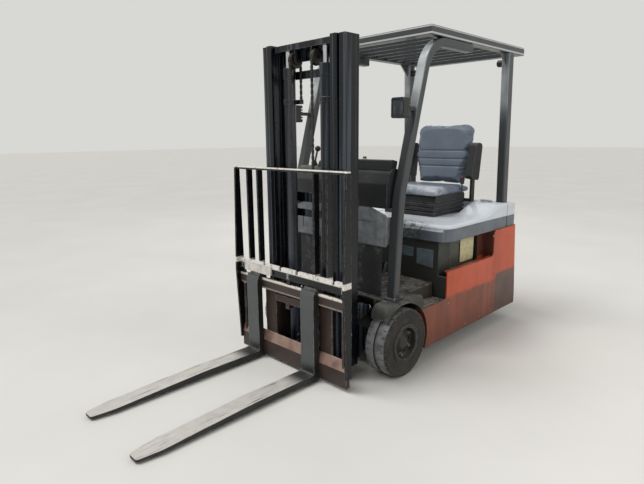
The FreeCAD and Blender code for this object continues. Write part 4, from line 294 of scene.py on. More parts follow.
def rounded(low: Point2, high: Point2, radius: float, steps: int = 5) -> Array:
    """Rectangle with round corners.

    Args:
        low: lower corner.
        high: upper corner.
        radius: radius of the corners.
        steps: points on each corner.

    Returns:
        Outline of quarter circles about centres that are set in by the radius.
    """
    quarter = np.linspace(0.0, math.pi / 2.0, steps)
    angles = quarter[None] + np.arange(4)[:, None] * math.pi / 2.0
    across = np.array([high[0] - radius, low[0] + radius, low[0] + radius, high[0] - radius])[:, None]
    upright = np.array([high[1] - radius, high[1] - radius, low[1] + radius, low[1] + radius])[:, None]
    points = np.stack((across + radius * np.cos(angles), upright + radius * np.sin(angles)), axis=-1)
    return points.reshape(-1, 2)


def ring_offsets(axis: Axis, radius: float, count: int, phase: float = 0.0) -> Array:
    """Offsets of evenly spaced places on a circle about an axis.

    Args:
        axis: the axis.
        radius: radius of the circle.
        count: how many places there are.
        phase: angle of the first one.

    Returns:
        One offset for each place.
    """
    angles = np.linspace(0.0, 2.0 * math.pi, count, endpoint=False) + phase
    return placed(0.0 * angles, radius * np.cos(angles), radius * np.sin(angles), axis, (0.0, 0.0, 0.0))


class Graph:
    """Builder for the shader nodes of one material."""

    def __init__(self, name: str) -> None:
        """Make an empty material with one principled shader and its output.

        Args:
            name: name of the material.
        """
        self.material = bpy.data.materials.new(name)
        self.material.use_nodes = True
        self.tree = self.material.node_tree
        self.tree.nodes.clear()
        self.shader = self.node("ShaderNodeBsdfPrincipled")
        output = self.node("ShaderNodeOutputMaterial")
        self.link(self.shader.outputs["BSDF"], output.inputs["Surface"])
        self.coordinates = self.node("ShaderNodeTexCoord")

    def node(self, kind: str, **values: object) -> bpy.types.Node:
        """Add a node.

        Args:
            kind: Blender's type name of the node.
            values: properties of the node by name.

        Returns:
            The new node.
        """
        made = self.tree.nodes.new(kind)
        for name, value in values.items():
            setattr(made, name, value)
        return made

    def link(self, source: Socket, target: Socket) -> None:
        """Join an output to an input."""
        self.tree.links.new(source, target)

    def feed(self, target: Socket, value: object) -> None:
        """Give an input its value.

        Args:
            target: the input.
            value: another node's output, a colour or a number.
        """
        if isinstance(value, Socket):
            self.link(value, target)
        elif isinstance(value, tuple) and target.type == "RGBA":
            target.default_value = (*value, 1.0)
        else:
            target.default_value = value

    def calc(self, operation: str, first: object, second: object = 0.0) -> Socket:
        """One step of arithmetic.

        Args:
            operation: Blender's name of the operation.
            first: first value.
            second: second value.

        Returns:
            The result.
        """
        made = self.node("ShaderNodeMath", operation=operation)
        self.feed(made.inputs[0], first)
        self.feed(made.inputs[1], second)
        return made.outputs[0]

    def mix(self, share: object, first: object, second: object, data_type: str = "RGBA") -> Socket:
        """Blend two colours, or two numbers.

        Args:
            share: how much of the second, from 0 to 1.
            first: what shows at 0.
            second: what shows at 1.
            data_type: RGBA for colours, FLOAT for numbers.

        Returns:
            One minus the share times the first, plus the share times the second.
        """
        made = self.node("ShaderNodeMix", data_type=data_type)
        start = {"FLOAT": 2, "RGBA": 6}[data_type]
        self.feed(made.inputs["Factor"], share)
        self.feed(made.inputs[start], first)
        self.feed(made.inputs[start + 1], second)
        return made.outputs[start // 2 - 1]

    def noise(self, scale: float, detail: float = 4.0, roughness: float = 0.55,
              stretch: Optional[Point] = None) -> Socket:
        """Fractal noise over the object's own coordinates.

        Args:
            scale: waves per metre.
            detail: how many finer octaves are added.
            roughness: how strong the finer octaves are.
            stretch: factors on the three coordinates.

        Returns:
            The noise value, from 0 to 1.
        """
        vector = self.coordinates.outputs["Object"]
        if stretch:
            mapping = self.node("ShaderNodeMapping")
            self.link(vector, mapping.inputs["Vector"])
            mapping.inputs["Scale"].default_value = stretch
            vector = mapping.outputs["Vector"]
        made = self.node("ShaderNodeTexNoise")
        self.link(vector, made.inputs["Vector"])
        for name, value in (("Scale", scale), ("Detail", detail), ("Roughness", roughness)):
            made.inputs[name].default_value = value
        return made.outputs["Fac"]

    def step(self, value: Socket, low: float, high: float) -> Socket:
        """Smooth step.

        Args:
            value: what it steps over.
            low: where it is 0.
            high: where it is 1, above or below that.

        Returns:
            Three times the share's square minus twice its cube.
        """
        made = self.node("ShaderNodeMapRange", interpolation_type="SMOOTHSTEP")
        self.link(value, made.inputs["Value"])
        made.inputs["From Min"].default_value = low
        made.inputs["From Max"].default_value = high
        return made.outputs["Result"]

    def rounded(self, radius: float) -> Socket:
        """Shading normal with the object's edges rounded.

        Args:
            radius: radius of the rounding.

        Returns:
            The normal.
        """
        made = self.node("ShaderNodeBevel", samples=4)
        made.inputs["Radius"].default_value = radius
        return made.outputs["Normal"]

    def flatness(self, radius: float) -> Socket:
        """How flat the surface is about each point.

        Args:
            radius: radius within which an edge counts.

        Returns:
            The dot product of the rounded normal and the true one: 1 on a flat, less on an edge.
        """
        geometry = self.node("ShaderNodeNewGeometry")
        product = self.node("ShaderNodeVectorMath", operation="DOT_PRODUCT")
        self.link(self.rounded(radius), product.inputs[0])
        self.link(geometry.outputs["Normal"], product.inputs[1])
        return product.outputs["Value"]

    def bump(self, height: Socket, strength: float, distance: float,
             normal: Optional[Socket] = None) -> Socket:
        """Shading normal from a height pattern.

        Args:
            height: the pattern.
            strength: how much of it shows.
            distance: height of the pattern in metres.
            normal: another normal that it is laid over.

        Returns:
            The normal.
        """
        made = self.node("ShaderNodeBump")
        self.link(height, made.inputs["Height"])
        made.inputs["Strength"].default_value = strength
        made.inputs["Distance"].default_value = distance
        if normal is not None:
            self.link(normal, made.inputs["Normal"])
        return made.outputs["Normal"]


class Source(Enum):
    """What a mask steps over: an output of the coordinates, its axis, and whether its sign is dropped."""

    X = ("Object", "X", False)
    Y = ("Object", "Y", False)
    Z = ("Object", "Z", False)
    ASIDE = ("Object", "X", True)
    FACE_X = ("Normal", "X", True)
    FACE_Y = ("Normal", "Y", False)
    FACE_Z = ("Normal", "Z", False)
    STEEP = ("Normal", "Z", True)
    NOISE = ("noise", "", False)
    EDGE = ("edge", "", False)


@dataclass(frozen=True)
class Mask:
    """Smooth step from 0 at the low value of a source to 1 at the high one.

    Noise has a scale, a detail, a roughness and a stretch, and an edge has its radius as scale.
    A ragged mask has noise times its ragged value added, and a leaning one Y times its lean.
    """

    source: Source
    low: float
    high: float
    scale: float = 1.0
    detail: float = 4.0
    roughness: float = 0.55
    stretch: Optional[Point] = None
    ragged: float = 0.0
    lean: float = 0.0

    def read(self, graph: Graph, source: Source) -> Socket:
        """Value of a source.

        Args:
            graph: builder of the material.
            source: what is read.

        Returns:
            The value before the step.
        """
        if source is Source.NOISE:
            return graph.noise(self.scale, self.detail, self.roughness, self.stretch)
        if source is Source.EDGE:
            return graph.flatness(self.scale)
        output, axis, unsigned = source.value
        split = graph.node("ShaderNodeSeparateXYZ")
        graph.link(graph.coordinates.outputs[output], split.inputs["Vector"])
        return graph.calc("ABSOLUTE", split.outputs[axis]) if unsigned else split.outputs[axis]

    def build(self, graph: Graph) -> Socket:
        """Nodes of the mask.

        Args:
            graph: builder of the material.

        Returns:
            The mask from 0 to 1.
        """
        value = self.read(graph, self.source)
        if self.lean:
            value = graph.calc("ADD", value, graph.calc("MULTIPLY", self.read(graph, Source.Y), self.lean))
        if self.ragged:
            wave = graph.calc("SUBTRACT", self.read(graph, Source.NOISE), 0.5)
            value = graph.calc("ADD", value, graph.calc("MULTIPLY", wave, self.ragged))
        return graph.step(value, self.low, self.high)


def cloud(low: float, high: float, scale: float, detail: float = 5.0, roughness: float = 0.55,
          stretch: Optional[Point] = None) -> Mask:
    """Mask of fractal noise between two of its values."""
    return Mask(Source.NOISE, low, high, scale, detail, roughness, stretch)


def span(source: Source, low: float, high: float, soft: float = 0.003) -> tuple[Mask, Mask]:
    """Masks that together are 1 between two values and fall to 0 over a soft edge outside them."""
    return Mask(source, low - soft, low), Mask(source, high + soft, high)


@dataclass(frozen=True)
class Layer:
    """A colour that lies where all its masks meet; a second one shades into it by a mask of its own."""

    colour: Screen
    strength: float
    masks: tuple[Mask, ...]
    second: Optional[Screen] = None
    shade: Optional[Mask] = None
    rough: Optional[float] = None

    def lay(self, graph: Graph, colour: Socket, rough: Socket) -> tuple[Socket, Socket]:
        """Put the layer over what is there.

        Args:
            graph: builder of the material.
            colour: colour so far.
            rough: roughness so far.

        Returns:
            Colour and roughness mixed with the layer's own by the product of masks and strength.
        """
        share: object = self.strength
        for mask in self.masks:
            share = graph.calc("MULTIPLY", mask.build(graph), share)
        own: object = linear(self.colour)
        if self.second and self.shade:
            own = graph.mix(self.shade.build(graph), linear(self.second), own)
        if self.rough is not None:
            rough = graph.mix(share, rough, self.rough, "FLOAT")
        return graph.mix(share, colour, own), rough


@dataclass(frozen=True)
class Finish:
    """A painted, moulded or bare surface with its wear and dirt.

    The base is mottled by noise. Streaks run down it, the surface's own layers follow, and over
    them grime lies low, dust on what faces up, chips as spots of noise and rubbed edges, which on the mast
    are also a painted edge highlight.
    """

    name: str
    base: Screen
    roughness: float = 0.45
    metallic: float = 0.0
    coat: float = 0.0
    shine: float = 0.5
    mottle: float = 0.25
    mottle_scale: float = 7.0
    second: Optional[Screen] = None
    streak: float = 0.0
    streak_colour: Screen = (39, 36, 33)
    grime: float = 0.0
    grime_colour: Screen = (60, 50, 43)
    grime_heights: Point2 = (0.05, 0.5)
    dust: float = 0.0
    dust_colour: Screen = (173, 170, 164)
    chips: float = 0.0
    chip_scale: float = 60.0
    chip_colour: Screen = (149, 144, 139)
    rub_and_sheen: float = 0.0
    rub_and_sheen_colour: Screen = (196, 191, 184)
    rub_and_sheen_radius: float = 0.004
    grain: float = 0.15
    grain_scale: float = 220.0
    grain_depth: float = 0.0006
    edge_radius: float = 0.0018
    slots: tuple[str, ...] = ()
    layers: tuple[Layer, ...] = ()

    def coats(self) -> list[Layer]:
        """All layers from the lowest to the topmost.

        Returns:
            Streaks, the surface's own layers, grime, dust, chips and rubbed edges, which on the mast are also
            a painted edge highlight.
        """
        low, high = self.grime_heights
        runs = cloud(0.50, 0.78, 9.0, stretch=(3.0, 3.0, 0.22))
        grimy = Mask(Source.Z, high, low, 5.0, 5.0, ragged=0.30)
        dusty = (Mask(Source.FACE_Z, 0.55, 0.98), cloud(0.30, 0.75, 14.0, 6.0))
        chipped = cloud(0.66, 0.70, self.chip_scale, 8.0, 0.7)
        rubbed_and_sheen_edges = (Mask(Source.EDGE, 0.995, 0.90, self.rub_and_sheen_radius), cloud(0.42, 0.58, 26.0, 6.0, 0.7))
        return [
            Layer(self.streak_colour, self.streak, (runs,)),
            *self.layers,
            Layer(self.grime_colour, self.grime, (grimy,), rough=0.85),
            Layer(self.dust_colour, self.dust, dusty, rough=0.9),
            Layer(self.chip_colour, self.chips, (chipped,)),
            # pale edges: wear, and on the mast a painted edge highlight
            Layer(self.rub_and_sheen_colour, self.rub_and_sheen, rubbed_and_sheen_edges, rough=0.42),
        ]

    def build(self) -> bpy.types.Material:
        """Make the material.

        Returns:
            The finished material, whose patterns all read object coordinates.
        """
        graph = Graph(self.name)
        shade = cloud(0.30, 0.72, self.mottle_scale, 6.0).build(graph)
        base = linear(self.base)
        other = linear(self.second) if self.second else tuple(value * (1.0 - self.mottle) for value in base)
        colour = graph.mix(shade, other, base)
        rough = graph.mix(shade, min(self.roughness + 0.12, 1.0), self.roughness, "FLOAT")
        for layer in self.coats():
            if layer.strength:
                colour, rough = layer.lay(graph, colour, rough)
        grain = graph.noise(self.grain_scale, 3.0)
        normal = graph.bump(grain, self.grain, self.grain_depth, graph.rounded(self.edge_radius))
        inputs = graph.shader.inputs
        for name, value in (("Base Color", colour), ("Roughness", rough), ("Normal", normal),
                            ("Metallic", self.metallic), ("Coat Weight", self.coat), ("Coat Roughness", 0.10),
                            ("Specular IOR Level", self.shine)):
            graph.feed(inputs[name], value)
        return graph.material


BODY_LAYERS = (  # darker brown below a slanting line, soot on the tail's foot, a faint painted shadow band behind the window, and painted shade on the window reveal's front faces and on its inside
    Layer((130, 64, 37), 0.92, (Mask(Source.Z, 0.392, 0.362, 11.0, 6.0, ragged=0.045, lean=0.012),),
          (100, 51, 31), cloud(0.35, 0.70, 10.0, 4.0, stretch=(2.0, 2.0, 0.15))),
    Layer((86, 62, 54), 0.88, (Mask(Source.Y, 1.105, 1.125), Mask(Source.Z, 0.415, 0.385)),
          (62, 50, 47), cloud(0.35, 0.65, 6.0)),
    # painted shadow: a faint dark band across the body just behind the window
    Layer((110, 52, 38), 0.22, (Mask(Source.Y, 1.060, 1.085), Mask(Source.Y, 1.20, 1.10))),
    # painted shade on the faces that look forward inside the window reveal
    Layer((84, 50, 42), 0.90, (Mask(Source.FACE_Y, -0.60, -0.90), *span(Source.Y, 0.90, 1.10))),
    # painted shade on the inside faces of the window
    Layer((46, 36, 33), 0.85, (Mask(Source.ASIDE, 0.507, 0.503), Mask(Source.Z, 0.535, 0.545),
                               Mask(Source.Y, 1.080, 1.074))),
)
BAND_AREAS = (  # the hood's slate band: sides, rounded front corners and front face
    (Mask(Source.ASIDE, 0.480, 0.490), Mask(Source.Z, 0.8065, 0.8035), Mask(Source.Y, 0.462, 0.472),
     Mask(Source.Y, 1.46, 1.44)),
    (Mask(Source.ASIDE, 0.17, 0.19, lean=-0.55), Mask(Source.ASIDE, 0.452, 0.462),
     Mask(Source.Z, 0.8065, 0.8035), Mask(Source.Y, 0.462, 0.472), Mask(Source.Y, 1.46, 1.44)),
    (Mask(Source.FACE_Y, -0.55, -0.85), Mask(Source.Z, 0.792, 0.786), Mask(Source.Y, 0.475, 0.465)),
)
HOOD_LAYERS = (
    *(Layer((98, 106, 115), 1.0, area, (82, 89, 97), cloud(0.3, 0.7, 7.0)) for area in BAND_AREAS),
    Layer((58, 60, 58), 0.85, (Mask(Source.Y, 0.60, 0.47), Mask(Source.ASIDE, 0.40, 0.28),
                               cloud(0.46, 0.58, 34.0, 8.0, 0.75))),
)
BATTERY_LAYERS = (  # olive towards the front, dark at the window's rear end
    Layer((58, 60, 50), 1.0, (Mask(Source.Y, 0.759, 0.756),)),
    Layer((36, 32, 34), 1.0, (Mask(Source.Y, 1.010, 1.016),)),
)
COWL_FOLD = Mask(Source.Z, 0.765, 0.755)
COWL_LAYERS = (  # worn spots, and charcoal with dust below the fold
    Layer((88, 92, 95), 0.55, (cloud(0.50, 0.62, 18.0, 8.0, 0.75),)),
    Layer((40, 42, 43), 1.0, (COWL_FOLD,)),
    Layer((104, 110, 112), 0.8, (COWL_FOLD, cloud(0.52, 0.66, 7.0, 8.0, 0.65))),
)
MAST_LAYERS = (  # painted highlight bands up the rails, and one scratch low on the left rail
    # painted highlight: lighter upright bands that stand in for the rails' gloss
    Layer((78, 87, 98), 0.62, (cloud(0.52, 0.64, 30.0, 2.0, stretch=(1.0, 1.0, 0.015)),)),
    Layer((226, 224, 220), 1.0, (*span(Source.Y, -0.266, -0.256), *span(Source.Z, 0.270, 0.282),
                                 Mask(Source.X, 0.327, 0.329))),
)
# patches of the tabs' and crest's wear and painted highlight
TAB_WEAR_AND_HIGHLIGHT = cloud(0.30, 0.46, 42.0, 6.0, 0.7)
BACKREST_LAYERS = (  # white tabs and crest: rubbed wear together with painted highlight where light falls from above
    Layer((222, 218, 212), 1.0, (Mask(Source.Z, 0.594, 0.602), Mask(Source.Z, 0.634, 0.628), TAB_WEAR_AND_HIGHLIGHT)),
    Layer((226, 222, 214), 1.0, (Mask(Source.Z, 1.205, 1.209), TAB_WEAR_AND_HIGHLIGHT)),
)
# front face of the upper bar where its pale lines lie: bare steel and painted highlight
BARE_AND_HIGHLIGHT_FRONT = (Mask(Source.Y, -0.383, -0.392), cloud(0.32, 0.46, 46.0, 7.0, 0.7))
CARRIAGE_LAYERS = (  # rust on the low ledge, pale lines along the upper bar that are bare steel and painted highlight
    Layer((140, 114, 102), 1.0, (Mask(Source.FACE_Z, 0.12, 0.35), Mask(Source.Z, 0.22, 0.20)),
          (100, 77, 67), cloud(0.30, 0.62, 12.0, 6.0)),
    Layer((214, 205, 196), 1.0, (Mask(Source.Z, 0.512, 0.520), *BARE_AND_HIGHLIGHT_FRONT)),
    Layer((214, 205, 196), 0.6, (Mask(Source.Z, 0.474, 0.466), Mask(Source.Z, 0.452, 0.456), *BARE_AND_HIGHLIGHT_FRONT)),
)
FORK_LAYERS = (  # blades scraped bright on top, and the shanks' lighter faces
    Layer((196, 192, 186), 0.95, (Mask(Source.FACE_Z, 0.80, 0.97), Mask(Source.Z, 0.075, 0.060),
                                  Mask(Source.Y, -0.50, -0.62),
                                  cloud(0.24, 0.46, 34.0, 6.0, stretch=(3.0, 0.16, 1.0)))),
    Layer((84, 88, 90), 0.75, (Mask(Source.FACE_Y, -0.80, -0.95), Mask(Source.Z, 0.07, 0.12))),
)
ROOF_EDGES = (Mask(Source.ASIDE, 0.445, 0.447), Mask(Source.Y, 0.290, 0.288), Mask(Source.Y, 1.485, 1.487))
# heights of the painted highlight lines round the roof's rim
ROOF_HIGHLIGHT_LINES = (span(Source.Z, 1.9960, 2.0035, 0.001), span(Source.Z, 1.9570, 1.9660, 0.001))
GUARD_LAYERS = (  # painted highlight on the outer face of the bend, painted highlight lines round the roof's rim
    Layer((188, 194, 197), 0.8, (Mask(Source.FACE_Y, -0.35, -0.75), Mask(Source.Z, 1.45, 1.72),
                                 Mask(Source.Z, 1.953, 1.948)),
          (120, 126, 129), cloud(0.3, 0.7, 5.0)),
    *(Layer((190, 192, 190), 0.85, (Mask(Source.STEEP, 0.6, 0.3), *line, edge))
      for line in ROOF_HIGHLIGHT_LINES for edge in ROOF_EDGES),
)
TYRE_LAYERS = (  # tread polished pale by the floor
    Layer((130, 133, 133), 0.85, (Mask(Source.FACE_X, 0.45, 0.20),), (82, 84, 84),
          cloud(0.25, 0.65, 22.0, 6.0)),
)
SEAT_LAYERS = (  # rubbed front roll of the cushion
    Layer((200, 205, 211), 0.85, (Mask(Source.Z, 1.050, 1.040), Mask(Source.Y, 0.93, 0.76),
                                  cloud(0.25, 0.60, 9.0))),
)

FINISHES = (
    Finish("tyre", (49, 46, 43), 0.82, mottle=0.35, mottle_scale=16, dust=0.15, grime=0.20,
           grime_colour=(76, 71, 66), grime_heights=(0.0, 0.20), grain=0.35, grain_scale=160,
           edge_radius=0.003, slots=("tyre_rubber",), layers=TYRE_LAYERS),
    Finish("rim", (46, 42, 37), 0.60, dust=0.3, chips=0.5, rub_and_sheen=0.4, slots=("rim_paint",)),
    Finish("axle_iron", (40, 38, 36), 0.6, mottle=0.4, grime=0.6, slots=("axle_iron",)),
    Finish("frame_paint", (44, 46, 42), 0.5, mottle=0.3, grime=0.4, dust=0.3, rub_and_sheen=0.6,
           rub_and_sheen_colour=(150, 150, 146), slots=("frame_paint",)),
    Finish("floor_steel", (50, 44, 38), 0.6, mottle=0.4, dust=0.5, rub_and_sheen=0.8, chips=0.6,
           slots=("floor_steel",)),
    Finish("body_paint", (190, 72, 27), 0.38, coat=0.10, mottle=0.12, mottle_scale=3.5, streak=0.30,
           streak_colour=(120, 52, 36), grime=0.45, grime_colour=(70, 44, 36), grime_heights=(0.08, 0.30),
           dust=0.15, chips=0.25, chip_colour=(96, 62, 52), rub_and_sheen=0.35, rub_and_sheen_colour=(206, 150, 128),
           slots=("body_paint", "cast_paint"), layers=BODY_LAYERS),
    Finish("battery_steel", (98, 60, 52), 0.5, coat=0.2, mottle=0.35, chips=0.6, dust=0.3, rub_and_sheen=0.6,
           slots=("battery_steel",), layers=BATTERY_LAYERS),
    Finish("hood_plastic", (208, 213, 220), 0.36, coat=0.15, mottle=0.08, mottle_scale=4.0, streak=0.10,
           chips=0.15, chip_colour=(110, 112, 114), grain=0.25, grain_scale=420, slots=("hood_plastic",),
           layers=HOOD_LAYERS),
    Finish("guard_paint", (50, 54, 57), 0.38, coat=0.25, mottle=0.2, dust=0.35, chips=0.25, rub_and_sheen=0.5,
           rub_and_sheen_colour=(186, 188, 186), rub_and_sheen_radius=0.005, slots=("guard_paint",), layers=GUARD_LAYERS),
    Finish("lamp_plastic", (28, 28, 29), 0.45, grain=0.3, dust=0.3, rub_and_sheen=0.3, slots=("lamp_plastic",)),
    Finish("cowl_plastic", (132, 137, 142), 0.55, mottle=0.35, mottle_scale=16, streak=0.25, dust=0.4,
           chips=0.6, chip_colour=(190, 193, 195), chip_scale=45, grain=0.4, grain_scale=300,
           slots=("cowl_plastic",), layers=COWL_LAYERS),
    Finish("dash_plastic", (30, 33, 36), 0.42, mottle=0.4, dust=0.35, chips=0.3, grain=0.45, grain_scale=360,
           rub_and_sheen=0.3, slots=("dash_plastic",)),
    Finish("grip", (26, 26, 27), 0.4, dust=0.2, grain=0.3, slots=("grip_rubber",)),
    Finish("pedal", (32, 32, 32), 0.55, rub_and_sheen=0.8, dust=0.3, slots=("pedal_steel",)),
    Finish("seat_plastic", (30, 31, 33), 0.5, mottle=0.3, dust=0.45, grain=0.4, grain_scale=300, rub_and_sheen=0.35,
           slots=("seat_plastic",)),
    Finish("seat_vinyl", (106, 117, 132), 0.42, mottle=0.14, streak=0.08, chips=0.12,
           chip_colour=(160, 168, 178), grain=0.5, grain_scale=520, slots=("seat_vinyl",),
           layers=SEAT_LAYERS),
    # on the mast the pale rubbed edges are also a painted edge highlight
    Finish("mast_paint", (13, 15, 20), 0.20, coat=0.1, shine=0.3, mottle=0.3, chips=0.2,
           chip_colour=(176, 174, 170), rub_and_sheen=0.6, rub_and_sheen_colour=(190, 190, 188), rub_and_sheen_radius=0.003,
           slots=("mast_paint",), layers=MAST_LAYERS),
    Finish("backrest_paint", (14, 16, 19), 0.20, coat=0.1, shine=0.3, mottle=0.3, rub_and_sheen=0.45,
           rub_and_sheen_colour=(196, 194, 190), rub_and_sheen_radius=0.003, layers=BACKREST_LAYERS),
    Finish("chrome", (200, 202, 206), 0.12, metallic=1.0, mottle=0.08, streak=0.1, slots=("rod_chrome",)),
    Finish("chain_steel", (92, 88, 84), 0.36, metallic=0.9, mottle=0.4, slots=("chain_steel",)),
    Finish("carriage_paint", (38, 31, 28), 0.45, mottle=0.5, second=(58, 43, 37), dust=0.2, chips=0.5,
           rub_and_sheen=0.8, rub_and_sheen_colour=(204, 186, 172), rub_and_sheen_radius=0.004, slots=("carriage_paint",),
           layers=CARRIAGE_LAYERS),
    Finish("fork_steel", (40, 42, 42), 0.40, metallic=0.2, mottle=0.35, mottle_scale=11, dust=0.25,
           dust_colour=(120, 118, 114), rub_and_sheen=0.7, slots=("fork_steel",), layers=FORK_LAYERS),
    Finish("zinc", (150, 150, 148), 0.35, metallic=0.8, mottle=0.35, grime=0.4, rub_and_sheen=0.3),
    Finish("worn_white", (212, 208, 202), 0.5, mottle=0.25, mottle_scale=30, streak=0.3,
           streak_colour=(120, 112, 104), chips=0.5, chip_colour=(96, 86, 78), chip_scale=35),
    Finish("blank_cream", (212, 203, 158), 0.45, mottle=0.25, mottle_scale=40, chips=0.9,
           chip_colour=(110, 106, 70), chip_scale=30),
    Finish("bay_gloss", (104, 116, 124), 0.12, coat=1.0, mottle=0.35, mottle_scale=9, streak=0.3,
           streak_colour=(60, 66, 70)),
    Finish("lens_clear", (66, 71, 76), 0.08, coat=1.0, mottle=0.1, grain=0.8, grain_scale=90,
           grain_depth=0.002),
    Finish("lens_red", (150, 18, 14), 0.12, coat=1.0, mottle=0.2, grain=0.8, grain_scale=120,
           grain_depth=0.002),
    Finish("button_red", (178, 26, 20), 0.35, mottle=0.2, rub_and_sheen=0.3),
    Finish("screen", (22, 30, 34), 0.08, coat=1.0, mottle=0.3, mottle_scale=25),
)


class Wardrobe:
    """The finished materials by name and by the record's slot."""

    def __init__(self, finishes: Sequence[Finish]) -> None:
        """Build each finish once.

        Args:
            finishes: what is built.
        """
        self.by_name: dict[str, bpy.types.Material] = {}
        self.by_slot: dict[str, bpy.types.Material] = {}
        for finish in finishes:
            material = finish.build()
            self.by_name[finish.name] = material
            for slot in finish.slots:
                self.by_slot[slot] = material

    def dress_nodes(self, frame: dict) -> int:
        """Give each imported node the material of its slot, and the load backrest its own.


        Returns:
            How many nodes were dressed.
        """
        slots = {part["node"]: part["material_slot"] for part in frame["record"]["subparts"]}
        for name, node in frame["nodes"].items():
            node.data.materials.clear()
            own = self.by_name["backrest_paint"] if name == "load_backrest" else self.by_slot[slots[name]]
            node.data.materials.append(own)
        return len(slots)


class Workshop:
    """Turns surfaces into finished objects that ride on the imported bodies."""

    def __init__(self, wardrobe: Wardrobe) -> None:
        """Keep the materials for the pieces to come.

        Args:
            wardrobe: the materials.
        """
        self.wardrobe = wardrobe
        self.made = 0

    def mesh(self, name: str, surface: Surface) -> bpy.types.Mesh:
        """Clean mesh of a surface.

        Args:
            name: name of the mesh.
            surface: points and polygons in metres.

        Returns:
            The mesh with doubled points merged and its faces turned outwards.
        """
        data = bpy.data.meshes.new(name)
        sizes = np.concatenate([np.full(len(face), face.shape[1]) for face in surface.faces])
        numbers = np.concatenate([face.ravel() for face in surface.faces])
        data.vertices.add(len(surface.points))
        data.vertices.foreach_set("co", surface.points.ravel())
        data.loops.add(len(numbers))
        data.loops.foreach_set("vertex_index", numbers)
        data.polygons.add(len(sizes))
        data.polygons.foreach_set("loop_start", np.cumsum(sizes) - sizes)
        data.update(calc_edges=True)
        work = bmesh.new()
        work.from_mesh(data)
        bmesh.ops.remove_doubles(work, verts=work.verts, dist=1e-6)
        bmesh.ops.dissolve_degenerate(work, edges=work.edges, dist=1e-7)
        bmesh.ops.recalc_face_normals(work, faces=work.faces)
        work.to_mesh(data)
        work.free()
        return data

    def make(self, name: str, surface: Surface, finish: str,
             bevel: float = 0.0) -> bpy.types.Object:
        """Object of a surface with its material, before it is put on a body.

        Args:
            name: name of the piece.
            surface: its points and polygons.
            finish: name of its finish.
            bevel: width of the bevel on its sharp edges, or 0 for none.

        Returns:
            The object, smooth apart from its sharp edges.
        """
        piece = bpy.data.objects.new(name, self.mesh(name, surface))
        bpy.context.scene.collection.objects.link(piece)
        if bevel:
            rounding = piece.modifiers.new("edges", "BEVEL")
            rounding.width = bevel
            rounding.segments = 2
            rounding.limit_method = "ANGLE"
        self.dress(piece, finish)
        return piece

    def dress(self, piece: bpy.types.Object, finish: str) -> None:
        """Give a piece its material, and shade it smooth up to its sharp edges.

        Args:
            piece: the object.
            finish: name of its finish.
        """
        piece.data.materials.clear()
        piece.data.materials.append(self.wardrobe.by_name[finish])
        piece.data.shade_smooth()
        piece.data.set_sharp_from_angle(angle=math.radians(35.0))
        self.made += 1

    def fit(self, name: str, surface: Surface, finish: str, body: str,
            bevel: float = 0.0) -> bpy.types.Object:
        """Make a piece and put it on the body that carries it.

        Args:
            name: name of the piece.
            surface: its points and polygons.
            finish: name of its finish.
            body: name of the body.
            bevel: width of the bevel, or 0 for none.

        Returns:
            The object.
        """
        piece = self.make(name, surface, finish, bevel)
        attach(piece, body)
        return piece


@dataclass(frozen=True)
class Panel:
    """Plate with round corners, by its axis, two corners, their radius and its span along the axis."""

    axis: Axis
    low: Point2
    high: Point2
    radius: float
    start: float
    end: float
    steps: int = 5

    def surface(self) -> Surface:
        """Its closed form."""
        return prism(rounded(self.low, self.high, self.radius, self.steps), self.axis, self.start, self.end)


@dataclass(frozen=True)
class Nut:
    """Hexagon nut on a washer, with its stud's end standing out the positive way of its axis."""

    axis: Axis
    size: float
    thick: float
    stud: float
    washer: float = 0.15

    def surface(self) -> Surface:
        """Washer, nut and stud on the plane through the origin.

        Returns:
            The three forms together; the washer takes its share of the nut's height.
        """
        middle = (0.0, 0.0)
        foot = self.thick * self.washer
        washer = prism(regular(middle, self.size * 1.25, 20), self.axis, 0.0, foot)
        nut = prism(regular(middle, self.size, 6), self.axis, foot, self.thick)
        end = prism(regular(middle, self.size * 0.5, 12), self.axis, self.thick, self.thick + self.stud)
        return washer + nut + end

    def turned_over(self) -> Surface:
        """The same on the other side of the plane through the origin."""
        form = self.surface()
        return Surface(form.points * np.where(np.arange(3) == self.axis.value[0], -1.0, 1.0), form.faces)


@dataclass(frozen=True)
class Dome:
    """Domed head on the plane through the origin, towards the positive or negative side."""

    axis: Axis
    radius: float
    high: float
    way: float = 1.0

    def surface(self) -> Surface:
        """Turned form of the head.

        Returns:
            Height times the sine and radius times the cosine of an angle up to a quarter turn.
        """
        turns = np.linspace(0.0, math.pi / 2.0, 5)
        profile = np.stack((self.way * self.high * np.sin(turns), self.radius * np.cos(turns)), axis=1)
        return lathed(np.vstack((profile, [[0.0, 0.0]])), self.axis, (0.0, 0.0, 0.0), 14)


